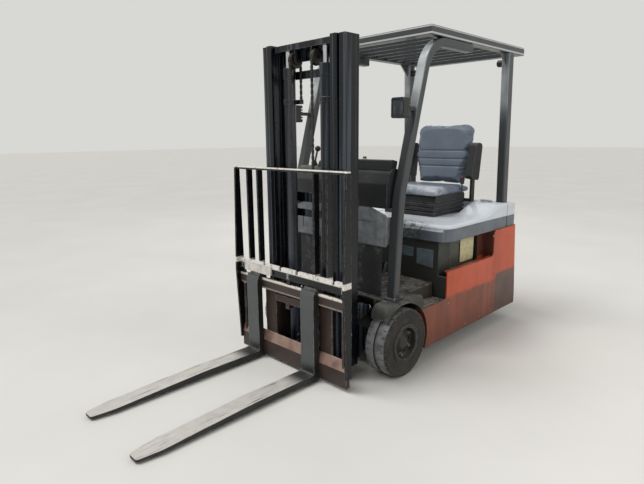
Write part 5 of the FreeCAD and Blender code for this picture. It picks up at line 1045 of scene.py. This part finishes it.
@dataclass(frozen=True)
class Tyre:
    """Press-on tyre with a central groove, slots across its shoulders and fine rings on its walls."""

    centre: Point
    radius: float
    half: float
    bead: float = 0.118
    bore: float = 0.1043
    draft: float = 0.0063
    shoulder: float = 0.016
    slots: int = 30
    slot_deep: float = 0.005
    rings: int = 14
    ring_high: float = 0.0012

    def outline(self) -> Array:
        """Closed profile of the tyre.

        Returns:
            Distances from the middle and radii, up one wall, over the tread and down the other.
        """
        wall = self.half - self.draft
        rise = np.linspace(self.bead + 0.004, self.radius - 0.024, self.rings)
        draw = wall + self.draft * (rise - self.bead) / (self.radius - 0.020 - self.bead)
        draw = draw - self.ring_high + self.ring_high * np.sin(np.arange(self.rings) * math.pi / 2.0)
        turn = np.linspace(0.0, math.pi / 2.0, 6)
        round_over = np.stack((self.half + self.shoulder * (np.cos(turn) - 1.0),
                               self.radius + self.shoulder * (np.sin(turn) - 1.0)), axis=1)
        band = np.array([(self.half - 0.030, 0.0), (self.half - 0.034, 0.0), (0.011, 0.0), (0.008, -0.0015),
                         (0.005, -0.009), (0.0, -0.0095)]) + (0.0, self.radius)
        foot = [(wall, self.bore), (wall, self.bead)]
        right = np.vstack((foot, np.stack((draw, rise), axis=1), round_over, band))
        return np.vstack((right, right[-2::-1] * (-1.0, 1.0)))

    def surface(self) -> Surface:
        """The tyre about its axle.

        Returns:
            The closed surface: the profile turned round X, its radius lowered where a slot is cut.
        """
        outline = self.outline()
        depth = np.zeros(len(outline))
        depth[15:23] = np.minimum(1.0, 0.3 + 0.5 * np.arange(8))
        depth[-23:-15] = depth[22:14:-1]
        step = 2.0 * math.pi / self.slots
        marks = np.array([0.0, 0.05, 0.07, 0.21, 0.23, 0.5, 0.78]) * step
        inside = np.array([0.0, 0.0, 1.0, 1.0, 0.0, 0.0, 0.0])
        angles = (np.arange(self.slots)[:, None] * step + marks).ravel()
        radius = outline[:, 1:] - self.slot_deep * depth[:, None] * np.tile(inside, self.slots)
        along = outline[:, :1] + 0.0 * angles
        return grid(placed(along, radius * np.cos(angles), radius * np.sin(angles), Axis.X, self.centre),
                    closed_rows=True, closed_columns=True)


@dataclass(frozen=True)
class Wheels:
    """Tyres in place of their packed forms, and the nuts that hold the rims."""

    front_x: float = 0.454
    front_radius: float = 0.203
    front_half: float = 0.076
    front_disc_x: float = 0.488
    rear: Tyre = Tyre((0.090, REAR_AXLE_Y, REAR_AXLE_Z), 0.1905, 0.057)
    rear_disc_x: float = 0.106
    nut: Nut = Nut(Axis.X, 0.0125, 0.012, 0.006)
    nuts: int = 6
    nut_ring: float = 0.082

    def build(self, shop: Workshop) -> None:
        """Fit tyres and nuts.

        Args:
            shop: makes the pieces.
        """
        ring = self.nut.surface().copies(ring_offsets(Axis.X, self.nut_ring, self.nuts, math.pi / self.nuts))
        for side, sign in SIDES.items():
            body = "front_wheel_" + side
            tyre = Tyre((sign * self.front_x, 0.0, AXLE_HEIGHT), self.front_radius, self.front_half).surface()
            piece = shop.fit("tread_" + side, tyre, "tyre", body)
            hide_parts("front_tyre_" + side)
            nuts = ring.moved((self.front_disc_x, 0.0, AXLE_HEIGHT))
            nuts = nuts if sign > 0 else nuts.mirrored()
            shop.fit("wheel_nuts_" + side, nuts, "zinc", body, 0.0008)
        piece = shop.fit("tread_rear", self.rear.surface().both_sides(), "tyre", "rear_wheels")
        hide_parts("rear_tyres")
        nuts = ring.moved((self.rear_disc_x, REAR_AXLE_Y, REAR_AXLE_Z)).both_sides()
        shop.fit("wheel_nuts_rear", nuts, "zinc", "rear_wheels", 0.0008)


@dataclass(frozen=True)
class Body:
    """Small parts of the body: plates in the battery windows, bay panels, screws, bolts and the latch."""

    plate: Panel = Panel(Axis.X, (0.762, 0.532), (0.942, 0.692), 0.010, 0.4172, 0.4200)
    rivet: Dome = Dome(Axis.X, 0.004, 0.0022)
    rivet_y: Point2 = (0.772, 0.932)
    rivet_z: Point2 = (0.545, 0.680)
    wide_panel: tuple[Point2, ...] = ((0.272, 0.560), (0.399, 0.545), (0.399, 0.665), (0.272, 0.665))
    narrow_panel: tuple[Point2, ...] = ((0.141, 0.600), (0.244, 0.600), (0.244, 0.665), (0.141, 0.665))
    panel_front_y: float = 0.4618
    panel_backs_y: Point2 = (0.4580, 0.4590)
    paddle: Panel = Panel(Axis.Y, (-0.047, 0.757), (0.047, 0.781), 0.008, 0.4508, 0.4546)
    lip: Panel = Panel(Axis.Y, (-0.040, 0.758), (0.040, 0.764), 0.0029, 0.4475, 0.4510)
    side_screw: Dome = Dome(Axis.X, 0.0065, 0.0035)
    side_screw_x: float = 0.5149
    side_screws: tuple[Point2, ...] = ((0.475, 0.520), (0.475, 0.330), (1.050, 0.690), (1.050, 0.150),
                                       (0.700, 0.130), (0.900, 0.130))
    cowl_screw: Dome = Dome(Axis.Y, 0.006, 0.0035, -1.0)
    cowl_screw_y: float = -0.0219
    cowl_screws: tuple[Point2, ...] = ((0.355, 0.790), (0.355, 0.905), (0.150, 0.955), (0.150, 0.785))
    foot_bolt: Nut = Nut(Axis.Z, 0.0055, 0.006, 0.002)
    foot_places: tuple[Point, ...] = ((0.4570, -0.028, 0.4598), (0.4570, 0.044, 0.4598))

    def screws(self) -> Surface:
        """Domed screws along the side panels and the cowl.

        Returns:
            The heads of both sides.
        """
        side = self.side_screw.surface().copies([(self.side_screw_x, y, z) for y, z in self.side_screws])
        front = self.cowl_screw.surface().copies([(x, self.cowl_screw_y, z) for x, z in self.cowl_screws])
        return side.both_sides() + front.both_sides()

    def build(self, shop: Workshop) -> None:
        """Fit the plates, panels, screws, bolts and the latch.

        Args:
            shop: makes the pieces.
        """
        places = [(self.plate.end, y, z) for y in self.rivet_y for z in self.rivet_z]
        rivets = self.rivet.surface().copies(places).both_sides()
        wide, narrow = (prism(outline, Axis.Y, back, self.panel_front_y) for outline, back
                        in zip((self.wide_panel, self.narrow_panel), self.panel_backs_y))
        bolts = self.foot_bolt.surface().copies(self.foot_places).both_sides()
        latch = self.paddle.surface() + self.lip.surface()
        plates = self.plate.surface().both_sides()
        shop.fit("window_plates", plates, "blank_cream", "chassis", 0.0008)
        shop.fit("window_rivets", rivets, "zinc", "chassis")
        shop.fit("bay_panels", wide + narrow, "bay_gloss", "chassis", 0.0008)
        shop.fit("body_screws", self.screws(), "zinc", "chassis")
        shop.fit("foot_bolts", bolts, "zinc", "chassis", 0.0006)
        shop.fit("hood_latch", latch, "lamp_plastic", "hood", 0.0008)


@dataclass(frozen=True)
class Guard:
    """Lamp glasses of the overhead guard."""

    lamp: Point2 = (0.432, 1.540)
    glass_half: Point2 = (0.0345, 0.0465)
    glass_y: Point2 = (0.0045, 0.0062)
    crown: float = 0.0035
    rib: float = 0.0004
    rib_pitch: float = 0.0069
    cup_radius: float = 0.031
    cup_y: float = 0.0078
    cup_deep: float = 0.0014
    tail_x: float = 0.350
    tail_profile: tuple[Point2, ...] = ((0.0, 0.0), (0.0, 0.0215), (-0.003, 0.0215), (-0.0055, 0.019),
                                        (-0.0065, 0.010), (-0.0068, 0.0))

    def glass(self) -> Surface:
        """Glass of the left work lamp.

        Returns:
            Front and back sheet; the front is crowned by a product of cosines and finely ribbed.
        """
        wide, high = self.glass_half
        x, z = np.meshgrid(np.linspace(-wide, wide, 25), np.linspace(-high, high, 31), indexing="ij")
        crown = self.crown * np.cos(x / wide * math.pi / 2.0) * np.cos(z / high * math.pi / 2.0)
        ribs = self.rib * np.cos(x * 2.0 * math.pi / self.rib_pitch)
        depths = (self.glass_y[0] - crown - ribs, self.glass_y[1] + 0.0 * x)
        front, back = (grid(np.stack((x + self.lamp[0], y, z + self.lamp[1]), axis=-1)) for y in depths)
        return front + back

    def cup(self) -> Surface:
        """Bright reflector behind the glass.

        Returns:
            Turned form whose depth grows with the square of its radius.
        """
        turns = np.linspace(0.15, 1.0, 8)
        profile = [(self.cup_y - self.cup_deep * turn ** 2, self.cup_radius * turn) for turn in turns]
        profile += [(self.cup_y, self.cup_radius), (self.cup_y + 0.0001, 0.004)]
        return lathed(profile, Axis.Y, (self.lamp[0], 0.0, self.lamp[1]), 40)

    def build(self, shop: Workshop) -> None:
        """Fit the glasses in front of the lamps.

        Args:
            shop: makes the pieces.
        """
        shop.fit("headlamp_glass", self.glass().both_sides(), "lens_clear", "chassis")
        shop.fit("headlamp_cups", self.cup().both_sides(), "chrome", "chassis")
        low, high = corners("rear_lamps")
        middle = (low + high) / 2.0
        tail = lathed(self.tail_profile, Axis.X, (self.tail_x, middle[1], middle[2]), 32)
        shop.fit("tail_lamp_glass", tail.both_sides(), "lens_red", "chassis")


@dataclass(frozen=True)
class Controls:
    """Display, switches and stop button on the dash, ribs on the pedals and boots on the levers."""

    bezel: tuple[Point2, ...] = ((0.0868, 1.2080), (0.0893, 1.2410), (0.0915, 1.2410), (0.0890, 1.2080))
    bezel_x: Point2 = (0.190, 0.330)
    screen: tuple[Point2, ...] = ((0.0888, 1.2120), (0.0909, 1.2372), (0.0921, 1.2372), (0.0900, 1.2120))
    screen_x: Point2 = (0.200, 0.290)
    key: Panel = Panel(Axis.Y, (-0.005, -0.005), (0.005, 0.005), 0.0015, 0.0895, 0.0940, 3)
    key_x: Point2 = (0.301, 0.316)
    key_z: Point2 = (1.2170, 1.2310)
    barrel: tuple[Point2, ...] = ((0.0, 0.0), (0.0, 0.013), (0.004, 0.013), (0.006, 0.010), (0.012, 0.010),
                                  (0.013, 0.0))
    barrel_foot: Point = (0.160, 0.052, 1.2590)
    stop: tuple[Point2, ...] = ((0.0, 0.0), (0.0, 0.012), (0.010, 0.012), (0.011, 0.020), (0.017, 0.020),
                                (0.021, 0.015), (0.022, 0.0))
    stop_foot: Point = (-0.080, 0.060, 1.2050)
    pad_foot: Point2 = (0.214, 0.512)
    pad_head: Point2 = (0.250, 0.590)
    pads: tuple[Point2, ...] = ((-0.178, -0.122), (0.107, 0.193))
    ribs: int = 7
    rib_pitch: float = 0.011
    boot_high: float = 0.030
    boot_radius: float = 0.0225
    boot_taper: float = 0.0110
    fold: float = 0.0016
    fold_pitch: float = 0.0075
    boot_foot: Point = (0.0, 0.052, 1.2056)
    lever_x: Point = (-0.270, -0.210, -0.150)

    def pedal_ribs(self) -> Surface:
        """Rubber ribs across the pads' faces.

        Returns:
            Ribs one pitch apart along the line from the pads' foot to their head.
        """
        foot = np.array(self.pad_foot)
        way = np.array(self.pad_head) - foot
        way = way / np.linalg.norm(way)
        out = np.array([way[1], -way[0]])
        section = np.array([0.0 * way, way * 0.005, way * 0.004 + out * 0.003, way * 0.001 + out * 0.003])
        starts = foot + way * (0.010 + self.rib_pitch * np.arange(self.ribs))[:, None]
        forms = [prism(start + section, Axis.X, low, high) for low, high in self.pads for start in starts]
        return sum(forms[1:], forms[0])

    def lever_boots(self) -> Surface:
        """Folded rubber collars at the feet of the levers.

        Returns:
            Turned cones whose radius shrinks evenly and waves by a cosine of the height.
        """
        rise = np.linspace(0.0, self.boot_high, 19)
        radius = self.boot_radius - self.boot_taper * rise / self.boot_high
        radius = radius + self.fold * np.cos(rise * 2.0 * math.pi / self.fold_pitch)
        profile = np.vstack((np.stack((rise, radius), axis=1), [[self.boot_high, 0.0], [0.0, 0.0]]))
        return lathed(profile, Axis.Z, self.boot_foot, 28).copies([(x, 0.0, 0.0) for x in self.lever_x])

    def build(self, shop: Workshop) -> None:
        """Fit the controls' small parts.

        Args:
            shop: makes the pieces.
        """
        keys = self.key.surface().copies([(x, 0.0, z) for x in self.key_x for z in self.key_z])
        switches = keys + lathed(self.barrel, Axis.Z, self.barrel_foot, 24)
        bezel = prism(self.bezel, Axis.X, *self.bezel_x)
        glass = prism(self.screen, Axis.X, *self.screen_x)
        shop.fit("display_bezel", bezel, "lamp_plastic", "chassis", 0.0008)
        shop.fit("display_glass", glass, "screen", "chassis", 0.0003)
        shop.fit("dash_switches", switches, "lamp_plastic", "chassis", 0.0006)
        stop = lathed(self.stop, Axis.Z, self.stop_foot, 32)
        shop.fit("stop_button", stop, "button_red", "chassis")
        shop.fit("pedal_ribs", self.pedal_ribs(), "grip", "chassis", 0.0004)
        shop.fit("lever_boots", self.lever_boots(), "grip", "chassis")


@dataclass(frozen=True)
class Channel:
    """A sewn line across a pad: where it lies, how deep and wide it is, and the pillow on both sides."""

    height: float
    depth: float = 0.0065
    width: float = 0.0050
    pillow: float = 0.0020
    pillow_width: float = 0.022

    def pressed(self, places: Array) -> Array:
        """How far the channel lowers the skin at places across it.

        Args:
            places: coordinates across the channel.

        Returns:
            Two bell curves about the channel's height, a narrow deep one and a wide shallow one.
        """
        aside = places - self.height
        return (self.depth * np.exp(-(aside / self.width) ** 2)
                + self.pillow * np.exp(-(aside / self.pillow_width) ** 2))


@dataclass(frozen=True)
class Pad:
    """A foam pad swollen by cloth simulation from its packed form, then sewn across."""

    name: str
    node: str
    axis: Axis
    along: int
    channels: tuple[Channel, ...]
    fill: float = 0.7
    voxel: float = 0.006
    shrink: float = 0.010
    cap: float = 0.026
    pressure: float = 4.0
    frames: int = 20
    ear_drop: float = 0.028
    sunk: float = 0.004
    seat_gap: float = 0.0004

    def points(self, data: bpy.types.Mesh) -> tuple[Array, Array]:
        """Points of a mesh and their normals.

        Args:
            data: the mesh.

        Returns:
            Two arrays with one row for each point.
        """
        places = np.empty(len(data.vertices) * 3)
        data.vertices.foreach_get("co", places)
        normals = np.empty(len(data.vertices) * 3)
        data.vertex_normals.foreach_get("vector", normals)
        return places.reshape(-1, 3), normals.reshape(-1, 3)

    def put(self, piece: bpy.types.Object, places: Array) -> None:
        """Move a piece's points to new places."""
        piece.data.vertices.foreach_set("co", places.ravel())
        piece.data.update()

    def baked(self, piece: bpy.types.Object) -> None:
        """Replace a piece's mesh by what its modifiers make of it, and take them off.

        Args:
            piece: the piece, whose mesh changes.
        """
        graph = bpy.context.evaluated_depsgraph_get()
        data = bpy.data.meshes.new_from_object(piece.evaluated_get(graph))
        piece.modifiers.clear()
        piece.data = data

    def blank(self, source: bpy.types.Object) -> bpy.types.Object:
        """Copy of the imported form, closed, remeshed evenly and drawn in all round.

        Args:
            source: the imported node's object.

        Returns:
            The form before it swells: each point moved inwards along its normal.
        """
        data = source.data.copy()
        work = bmesh.new()
        work.from_mesh(data)
        bmesh.ops.remove_doubles(work, verts=work.verts, dist=1e-5)
        bmesh.ops.recalc_face_normals(work, faces=work.faces)
        work.to_mesh(data)
        work.free()
        piece = bpy.data.objects.new(self.name, data)
        bpy.context.scene.collection.objects.link(piece)
        remesh = piece.modifiers.new("even", "REMESH")
        remesh.mode = "VOXEL"
        remesh.voxel_size = self.voxel
        relax = piece.modifiers.new("relax", "SMOOTH")
        relax.factor = 0.5
        relax.iterations = 6
        self.baked(piece)
        places, normals = self.points(piece.data)
        self.put(piece, places - normals * self.shrink)
        return piece

    def swell(self, piece: bpy.types.Object) -> None:
        """Blow the pad up by cloth simulation.

        Args:
            piece: the blank; each of its points moves by no more than the cap.
        """
        rest = self.points(piece.data)[0]
        cloth = piece.modifiers.new("foam", "CLOTH")
        cloth.settings.use_pressure = True
        cloth.settings.uniform_pressure_force = self.pressure
        cloth.settings.effector_weights.gravity = 0.0
        cloth.settings.quality = 5
        scene = bpy.context.scene
        for frame in range(1, self.frames + 1):
            scene.frame_set(frame)
        self.baked(piece)
        scene.frame_set(1)
        moves = self.points(piece.data)[0] - rest
        length = np.linalg.norm(moves, axis=1, keepdims=True)
        self.put(piece, rest + moves * np.minimum(1.0, self.cap / np.maximum(length, 1e-9)))

    def settle(self, piece: bpy.types.Object) -> None:
        """Fit the pad into its packed form's box.

        Args:
            piece: the pad; a cushion becomes flat where it rests, a back lower at its upper corners.
        """
        low, high = corners(self.node)
        places = self.points(piece.data)[0]
        least, most = places.min(axis=0), places.max(axis=0)
        places = low + (places - least) / (most - least) * (high - low)
        if self.axis is Axis.Z:
            places[:, 2] = np.maximum(places[:, 2] - self.sunk, low[2] + self.seat_gap)
        else:
            middle = (low + high) / 2.0
            aside = np.abs(places[:, 0] - middle[0]) / (high[0] - middle[0])
            rise = np.clip((places[:, 2] - middle[2]) / (high[2] - middle[2]), 0.0, 1.0)
            places[:, 2] -= self.ear_drop * aside ** 4 * rise
        self.put(piece, places)

    def sew(self, piece: bpy.types.Object) -> None:
        """Press in the channels.

        Args:
            piece: the pad, whose skin is refined once and lowered by each channel where it faces out.
        """
        subdivision = piece.modifiers.new("smooth", "SUBSURF")
        subdivision.levels = 1
        subdivision.render_levels = 1
        self.baked(piece)
        places, normals = self.points(piece.data)
        way = 1.0 if self.axis is Axis.Z else -1.0
        facing = np.clip((way * normals[:, self.axis.value[0]] - 0.35) / 0.35, 0.0, 1.0)
        depth = sum(channel.pressed(places[:, self.along]) for channel in self.channels)
        self.put(piece, places - normals * (depth * facing)[:, None])

    def build(self, shop: Workshop, source: bpy.types.Object) -> None:
        """Args:
            shop: gives it its material.
            source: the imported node's object.
        """
        piece = self.blank(source)
        self.swell(piece)
        self.settle(piece)
        self.sew(piece)
        shop.dress(piece, "seat_vinyl")
        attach(piece, "hood")
        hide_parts(self.node)


@dataclass(frozen=True)
class Seat:
    """Cushion and backrest as sewn pads, and the belt's buckle beside them."""

    pads: tuple[Pad, ...] = (
        Pad("cushion", "seat_cushion", Axis.Z, 1, (Channel(0.800), Channel(0.905), Channel(1.010))),
        Pad("backrest", "seat_back", Axis.Y, 2, (Channel(1.279), Channel(1.217), Channel(1.162))),
    )
    stalk: Panel = Panel(Axis.X, (1.040, 0.985), (1.056, 1.050), 0.006, 0.2475, 0.2505)
    case: Panel = Panel(Axis.X, (1.028, 1.040), (1.068, 1.095), 0.010, 0.2440, 0.2560)
    button: Panel = Panel(Axis.X, (1.034, 1.088), (1.062, 1.099), 0.004, 0.2465, 0.2535)

    def build(self, shop: Workshop, nodes: dict[str, bpy.types.Object]) -> None:
        """Fit the seat's soft parts and the buckle.

        Args:
            shop: makes the pieces.
            nodes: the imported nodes' objects by name.
        """
        for pad in self.pads:
            pad.build(shop, nodes[pad.node])
        case = self.stalk.surface() + self.case.surface()
        shop.fit("buckle", case, "seat_plastic", "hood", 0.0010)
        shop.fit("buckle_button", self.button.surface(), "button_red", "hood", 0.0006)


@dataclass(frozen=True)
class Mast:
    """Leaf chains over their sheaves, and the pivots' caps."""

    plates: int = 5
    plate_thick: float = 0.0026
    plate_pitch: float = 0.0034
    plate_half: float = 0.0044
    plate_overhang: float = 0.0052
    pin_radius: float = 0.0025
    pin_half: float = 0.0088
    arc_links: int = 8
    cap: Dome = Dome(Axis.X, 0.019, 0.005)
    cap_foot: Point = (0.3370, -0.095, 0.203)

    def link(self) -> Surface:
        """One waisted plate of the chain, centred between its two pins, standing upright.

        Returns:
            The plate, whose half width narrows from its ends to its waist by a cosine.
        """
        turn = np.linspace(0.0, 2.0 * math.pi, 20, endpoint=False)
        upright = (CHAIN_PITCH * 0.5 + self.plate_overhang) * np.sin(turn)
        half = self.plate_half * np.sign(np.cos(turn)) * np.abs(np.cos(turn)) ** 0.55
        half = half * (0.80 + 0.20 * np.abs(np.sin(turn)))
        depth = self.plate_thick / 2.0
        return prism(np.stack((half, upright), axis=1), Axis.X, -depth, depth)

    def rung(self, odd: bool) -> Surface:
        """The plates that lie beside each other in one pitch, with a pin at the upper end.

        Args:
            odd: whether the rung has the outer and middle plates or those between them.

        Returns:
            Every second plate of the row, and the pin.
        """
        places = np.arange(self.plates) - (self.plates - 1) / 2.0
        row = places[::2] if odd else places[1::2]
        plates = self.link().copies([(place * self.plate_pitch, 0.0, 0.0) for place in row])
        head = regular((0.0, CHAIN_PITCH / 2.0), self.pin_radius, 10)
        return plates + prism(head, Axis.X, -self.pin_half, self.pin_half)

    def run(self, low: float, high: float, y: float) -> Surface:
        """Straight run of both chains between two heights.

        Args:
            low: height of its lower end.
            high: height of its upper end.
            y: where it hangs.

        Returns:
            Alternating rungs, one pitch apart, on both sides of the mast.
        """
        count = int((high - low) / CHAIN_PITCH)
        pitch = (high - low) / count
        points = [(CHAIN_X, y, low + pitch * (index + 0.5)) for index in range(count)]
        return (self.rung(True).copies(points[::2]) + self.rung(False).copies(points[1::2])).both_sides()

    def arc(self) -> Surface:
        """Links over the sheaves.

        Returns:
            Rungs turned about the sheaves' axle by even angles, on both sides of the mast.
        """
        rungs = []
        for index in range(self.arc_links):
            rung = self.rung(index % 2 == 0).moved((CHAIN_X, SHEAVE_Y - CHAIN_LINE_R, SHEAVE_Z))
            degrees = -180.0 * (index + 0.5) / self.arc_links
            rungs.append(rung.turned(Axis.X, degrees, (CHAIN_X, SHEAVE_Y, SHEAVE_Z)))
        return sum(rungs[1:], rungs[0]).both_sides()

    def build(self, shop: Workshop) -> None:
        """Fit the chains in place of their packed forms, and the caps low on the outer rails.

        Args:
            shop: makes the pieces.
        """
        front = self.run(CHAIN_FOOT_Z, SHEAVE_Z, SHEAVE_Y - CHAIN_LINE_R)
        straight = shop.fit("chain_run_front", front, "chain_steel", "inner_mast")
        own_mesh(straight)
        arc = shop.fit("chain_over_sheaves", self.arc(), "chain_steel", "inner_mast")
        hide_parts("chain_front")
        behind = self.run(CHAIN_ANCHOR_Z, SHEAVE_Z, SHEAVE_Y + CHAIN_LINE_R)
        rear = shop.make("chain_run_rear", behind, "chain_steel")
        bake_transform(rear)
        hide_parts("chain_rear")
        caps = self.cap.surface().copies([self.cap_foot]).both_sides()
        shop.fit("rail_caps", caps, "zinc", "outer_mast")


@dataclass(frozen=True)
class Carriage:
    """Folded plate on the backrest's rail, and bolts and chain nuts on the carriage."""

    face: Panel = Panel(Axis.Y, (-0.450, 0.5575), (-0.190, 0.6120), 0.004, -0.4140, -0.4120, 3)
    ledge: tuple[Point2, ...] = ((-0.4140, 0.6100), (-0.3995, 0.6100), (-0.3995, 0.6120), (-0.4140, 0.6120))
    ledge_x: Point2 = (-0.449, -0.191)
    cheek: tuple[Point2, ...] = ((-0.4130, 0.5580), (-0.3995, 0.5640), (-0.3995, 0.6110), (-0.4130, 0.6110))
    cheek_x: Point2 = (-0.4490, -0.4470)
    cheeks_apart: float = 0.2560
    bolt: Nut = Nut(Axis.Y, 0.0095, 0.007, 0.0015)
    bolt_x: Point = (-0.485, -0.045, 0.395)
    bolt_y: float = -0.3992
    bolt_z: Point2 = (0.572, 0.588)
    chain_nut: Nut = Nut(Axis.Z, 0.0085, 0.008, 0.006)
    chain_nut_y: float = -0.309
    chain_nut_z: float = 0.3740

    def cover(self) -> Surface:
        """Folded cover on the rail, blank, with returned edges.

        Returns:
            Face, ledge and the cheek at each end.
        """
        ledge = prism(self.ledge, Axis.X, *self.ledge_x)
        cheek = prism(self.cheek, Axis.X, *self.cheek_x)
        return self.face.surface() + ledge + cheek + cheek.moved((self.cheeks_apart, 0.0, 0.0))

    def build(self, shop: Workshop) -> None:
        """Fit the cover, the bolts of the backrest's feet and the nuts under the chain lugs.

        Args:
            shop: makes the pieces.
        """
        places = [(x, self.bolt_y, z) for x in self.bolt_x for z in self.bolt_z]
        bolts = self.bolt.turned_over().copies(places)
        lug = (CHAIN_X, self.chain_nut_y, self.chain_nut_z)
        nuts = self.chain_nut.turned_over().moved(lug).both_sides()
        shop.fit("rail_cover", self.cover(), "worn_white", "carriage", 0.0008)
        shop.fit("backrest_bolts", bolts, "zinc", "carriage", 0.0006)
        shop.fit("chain_nuts", nuts, "zinc", "carriage", 0.0006)


@dataclass(frozen=True)
class Viewpoint:
    """Camera at the photograph's viewing angle, measured from the truck's own edges."""

    place: Point = (2.153, -2.3134, 1.386)
    azimuth: float = 44.96
    down: float = 11.64
    roll: float = -0.553
    focal_pixels: float = 508.45
    frame_pixels: int = 644
    sensor: float = 36.0
    reach: float = 200.0

    def build(self) -> None:
        """Make the camera and set it as the scene's own."""
        turn = math.radians(self.azimuth)
        dip = math.radians(self.down)
        roll = math.radians(self.roll)
        ahead = Vector((-math.sin(turn) * math.cos(dip), math.cos(turn) * math.cos(dip), -math.sin(dip)))
        level_right = Vector((math.cos(turn), math.sin(turn), 0.0))
        level_up = level_right.cross(ahead)
        right = level_right * math.cos(roll) + level_up * math.sin(roll)
        up = right.cross(ahead)
        data = bpy.data.cameras.new("camera")
        data.sensor_width = self.sensor
        data.lens = self.focal_pixels * self.sensor / self.frame_pixels
        data.clip_end = self.reach
        camera = bpy.data.objects.new("camera", data)
        basis = Matrix((right, up, -ahead)).transposed().to_4x4()
        camera.matrix_world = Matrix.Translation(self.place) @ basis
        bpy.context.scene.collection.objects.link(camera)
        bpy.context.scene.camera = camera


class LampKind(Enum):
    """Kinds of lamp by Blender's own name."""

    DISK = "AREA"
    SUN = "SUN"


@dataclass(frozen=True)
class Lamp:
    """One soft lamp: where it hangs, its width in metres or a sun's angle, and how strongly it shines."""

    name: str
    place: Point
    aim: Point
    width: float
    power: float
    kind: LampKind = LampKind.DISK

    def build(self) -> None:
        """Hang the lamp and aim it."""
        data = bpy.data.lights.new(self.name, self.kind.value)
        data.energy = self.power
        if self.kind is LampKind.SUN:
            data.angle = self.width
        else:
            data.shape = "DISK"
            data.size = self.width
        lamp = bpy.data.objects.new(self.name, data)
        lamp.location = self.place
        lamp.rotation_euler = (Vector(self.aim) - Vector(self.place)).to_track_quat("-Z", "Y").to_euler()
        bpy.context.scene.collection.objects.link(lamp)


@dataclass(frozen=True)
class Studio:
    """Plain pale floor, even surroundings and soft lamps."""

    floor_half: float = 60.0
    floor_colour: Screen = (209, 207, 202)
    floor_shade: float = 0.93
    floor_roughness: float = 0.6
    floor_patches: Mask = cloud(0.25, 0.8, 0.9, 6.0)
    sky_colour: Screen = (216, 216, 213)
    sky_strength: float = 0.58
    seen_strength: float = 1.0
    seen_rays: tuple[str, ...] = ("Is Glossy Ray", "Is Transmission Ray")
    lamps: tuple[Lamp, ...] = (
        Lamp("even", (-2.2, -2.4, 6.6), (0.0, 0.3, 0.6), 0.5, 2.1, LampKind.SUN),
        Lamp("key", (0.6, -4.4, 4.6), (0.0, 0.2, 0.8), 2.6, 60.0),
        Lamp("side", (5.0, 1.6, 3.2), (0.0, 0.6, 0.7), 2.4, 75.0),
        Lamp("back", (-3.6, 4.4, 4.2), (0.0, 0.4, 1.0), 3.0, 55.0),
    )

    def floor(self) -> None:
        """Lay the floor: a flat square that isn't part of the truck."""
        half = self.floor_half
        data = bpy.data.meshes.new("floor")
        data.from_pydata([(-half, -half, 0.0), (half, -half, 0.0), (half, half, 0.0), (-half, half, 0.0)], [],
                         [(0, 1, 2, 3)])
        graph = Graph("floor_concrete")
        pale = linear(self.floor_colour)
        darker = tuple(value * self.floor_shade for value in pale)
        inputs = graph.shader.inputs
        graph.feed(inputs["Base Color"], graph.mix(self.floor_patches.build(graph), darker, pale))
        graph.feed(inputs["Normal"], graph.bump(graph.noise(40.0, 5.0), 0.15, 0.002))
        graph.feed(inputs["Roughness"], self.floor_roughness)
        data.materials.append(graph.material)
        floor = bpy.data.objects.new("floor", data)
        bpy.context.scene.collection.objects.link(floor)

    def surroundings(self) -> None:
        """Light the scene evenly; seen directly, in gloss or through glass, the surroundings are pale."""
        world = bpy.data.worlds.new("studio")
        bpy.context.scene.world = world
        world.use_nodes = True
        tree = world.node_tree
        tree.nodes.clear()
        both = tree.nodes.new("ShaderNodeMixShader")
        for place, strength in ((1, self.sky_strength), (2, self.seen_strength)):
            light = tree.nodes.new("ShaderNodeBackground")
            light.inputs["Color"].default_value = (*linear(self.sky_colour), 1.0)
            light.inputs["Strength"].default_value = strength
            tree.links.new(light.outputs[0], both.inputs[place])
        paths = tree.nodes.new("ShaderNodeLightPath")
        seen = paths.outputs["Is Camera Ray"]
        for kind in self.seen_rays:
            either = tree.nodes.new("ShaderNodeMath")
            either.operation = "MAXIMUM"
            tree.links.new(seen, either.inputs[0])
            tree.links.new(paths.outputs[kind], either.inputs[1])
            seen = either.outputs[0]
        tree.links.new(seen, both.inputs["Fac"])
        output = tree.nodes.new("ShaderNodeOutputWorld")
        tree.links.new(both.outputs[0], output.inputs["Surface"])

    def build(self) -> None:
        """Set up floor, surroundings and lamps."""
        bpy.context.scene.view_settings.view_transform = "Standard"
        self.floor()
        self.surroundings()
        for lamp in self.lamps:
            lamp.build()


def main() -> None:
    """Load the frame, dress it and build each sub-assembly in order."""
    logging.basicConfig(level=logging.INFO, format="%(name)s: %(message)s")
    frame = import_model()
    Studio().build()
    Viewpoint().build()
    wardrobe = Wardrobe(FINISHES)
    LOG.info("dressed %d packed nodes", wardrobe.dress_nodes(frame))
    shop = Workshop(wardrobe)
    for assembly in (Wheels(), Body(), Guard(), Controls(), Mast(), Carriage()):
        assembly.build(shop)
        LOG.info("%s done, %d pieces so far", type(assembly).__name__, shop.made)
    Seat().build(shop, frame["nodes"])


if __name__ == "__main__":
    main()
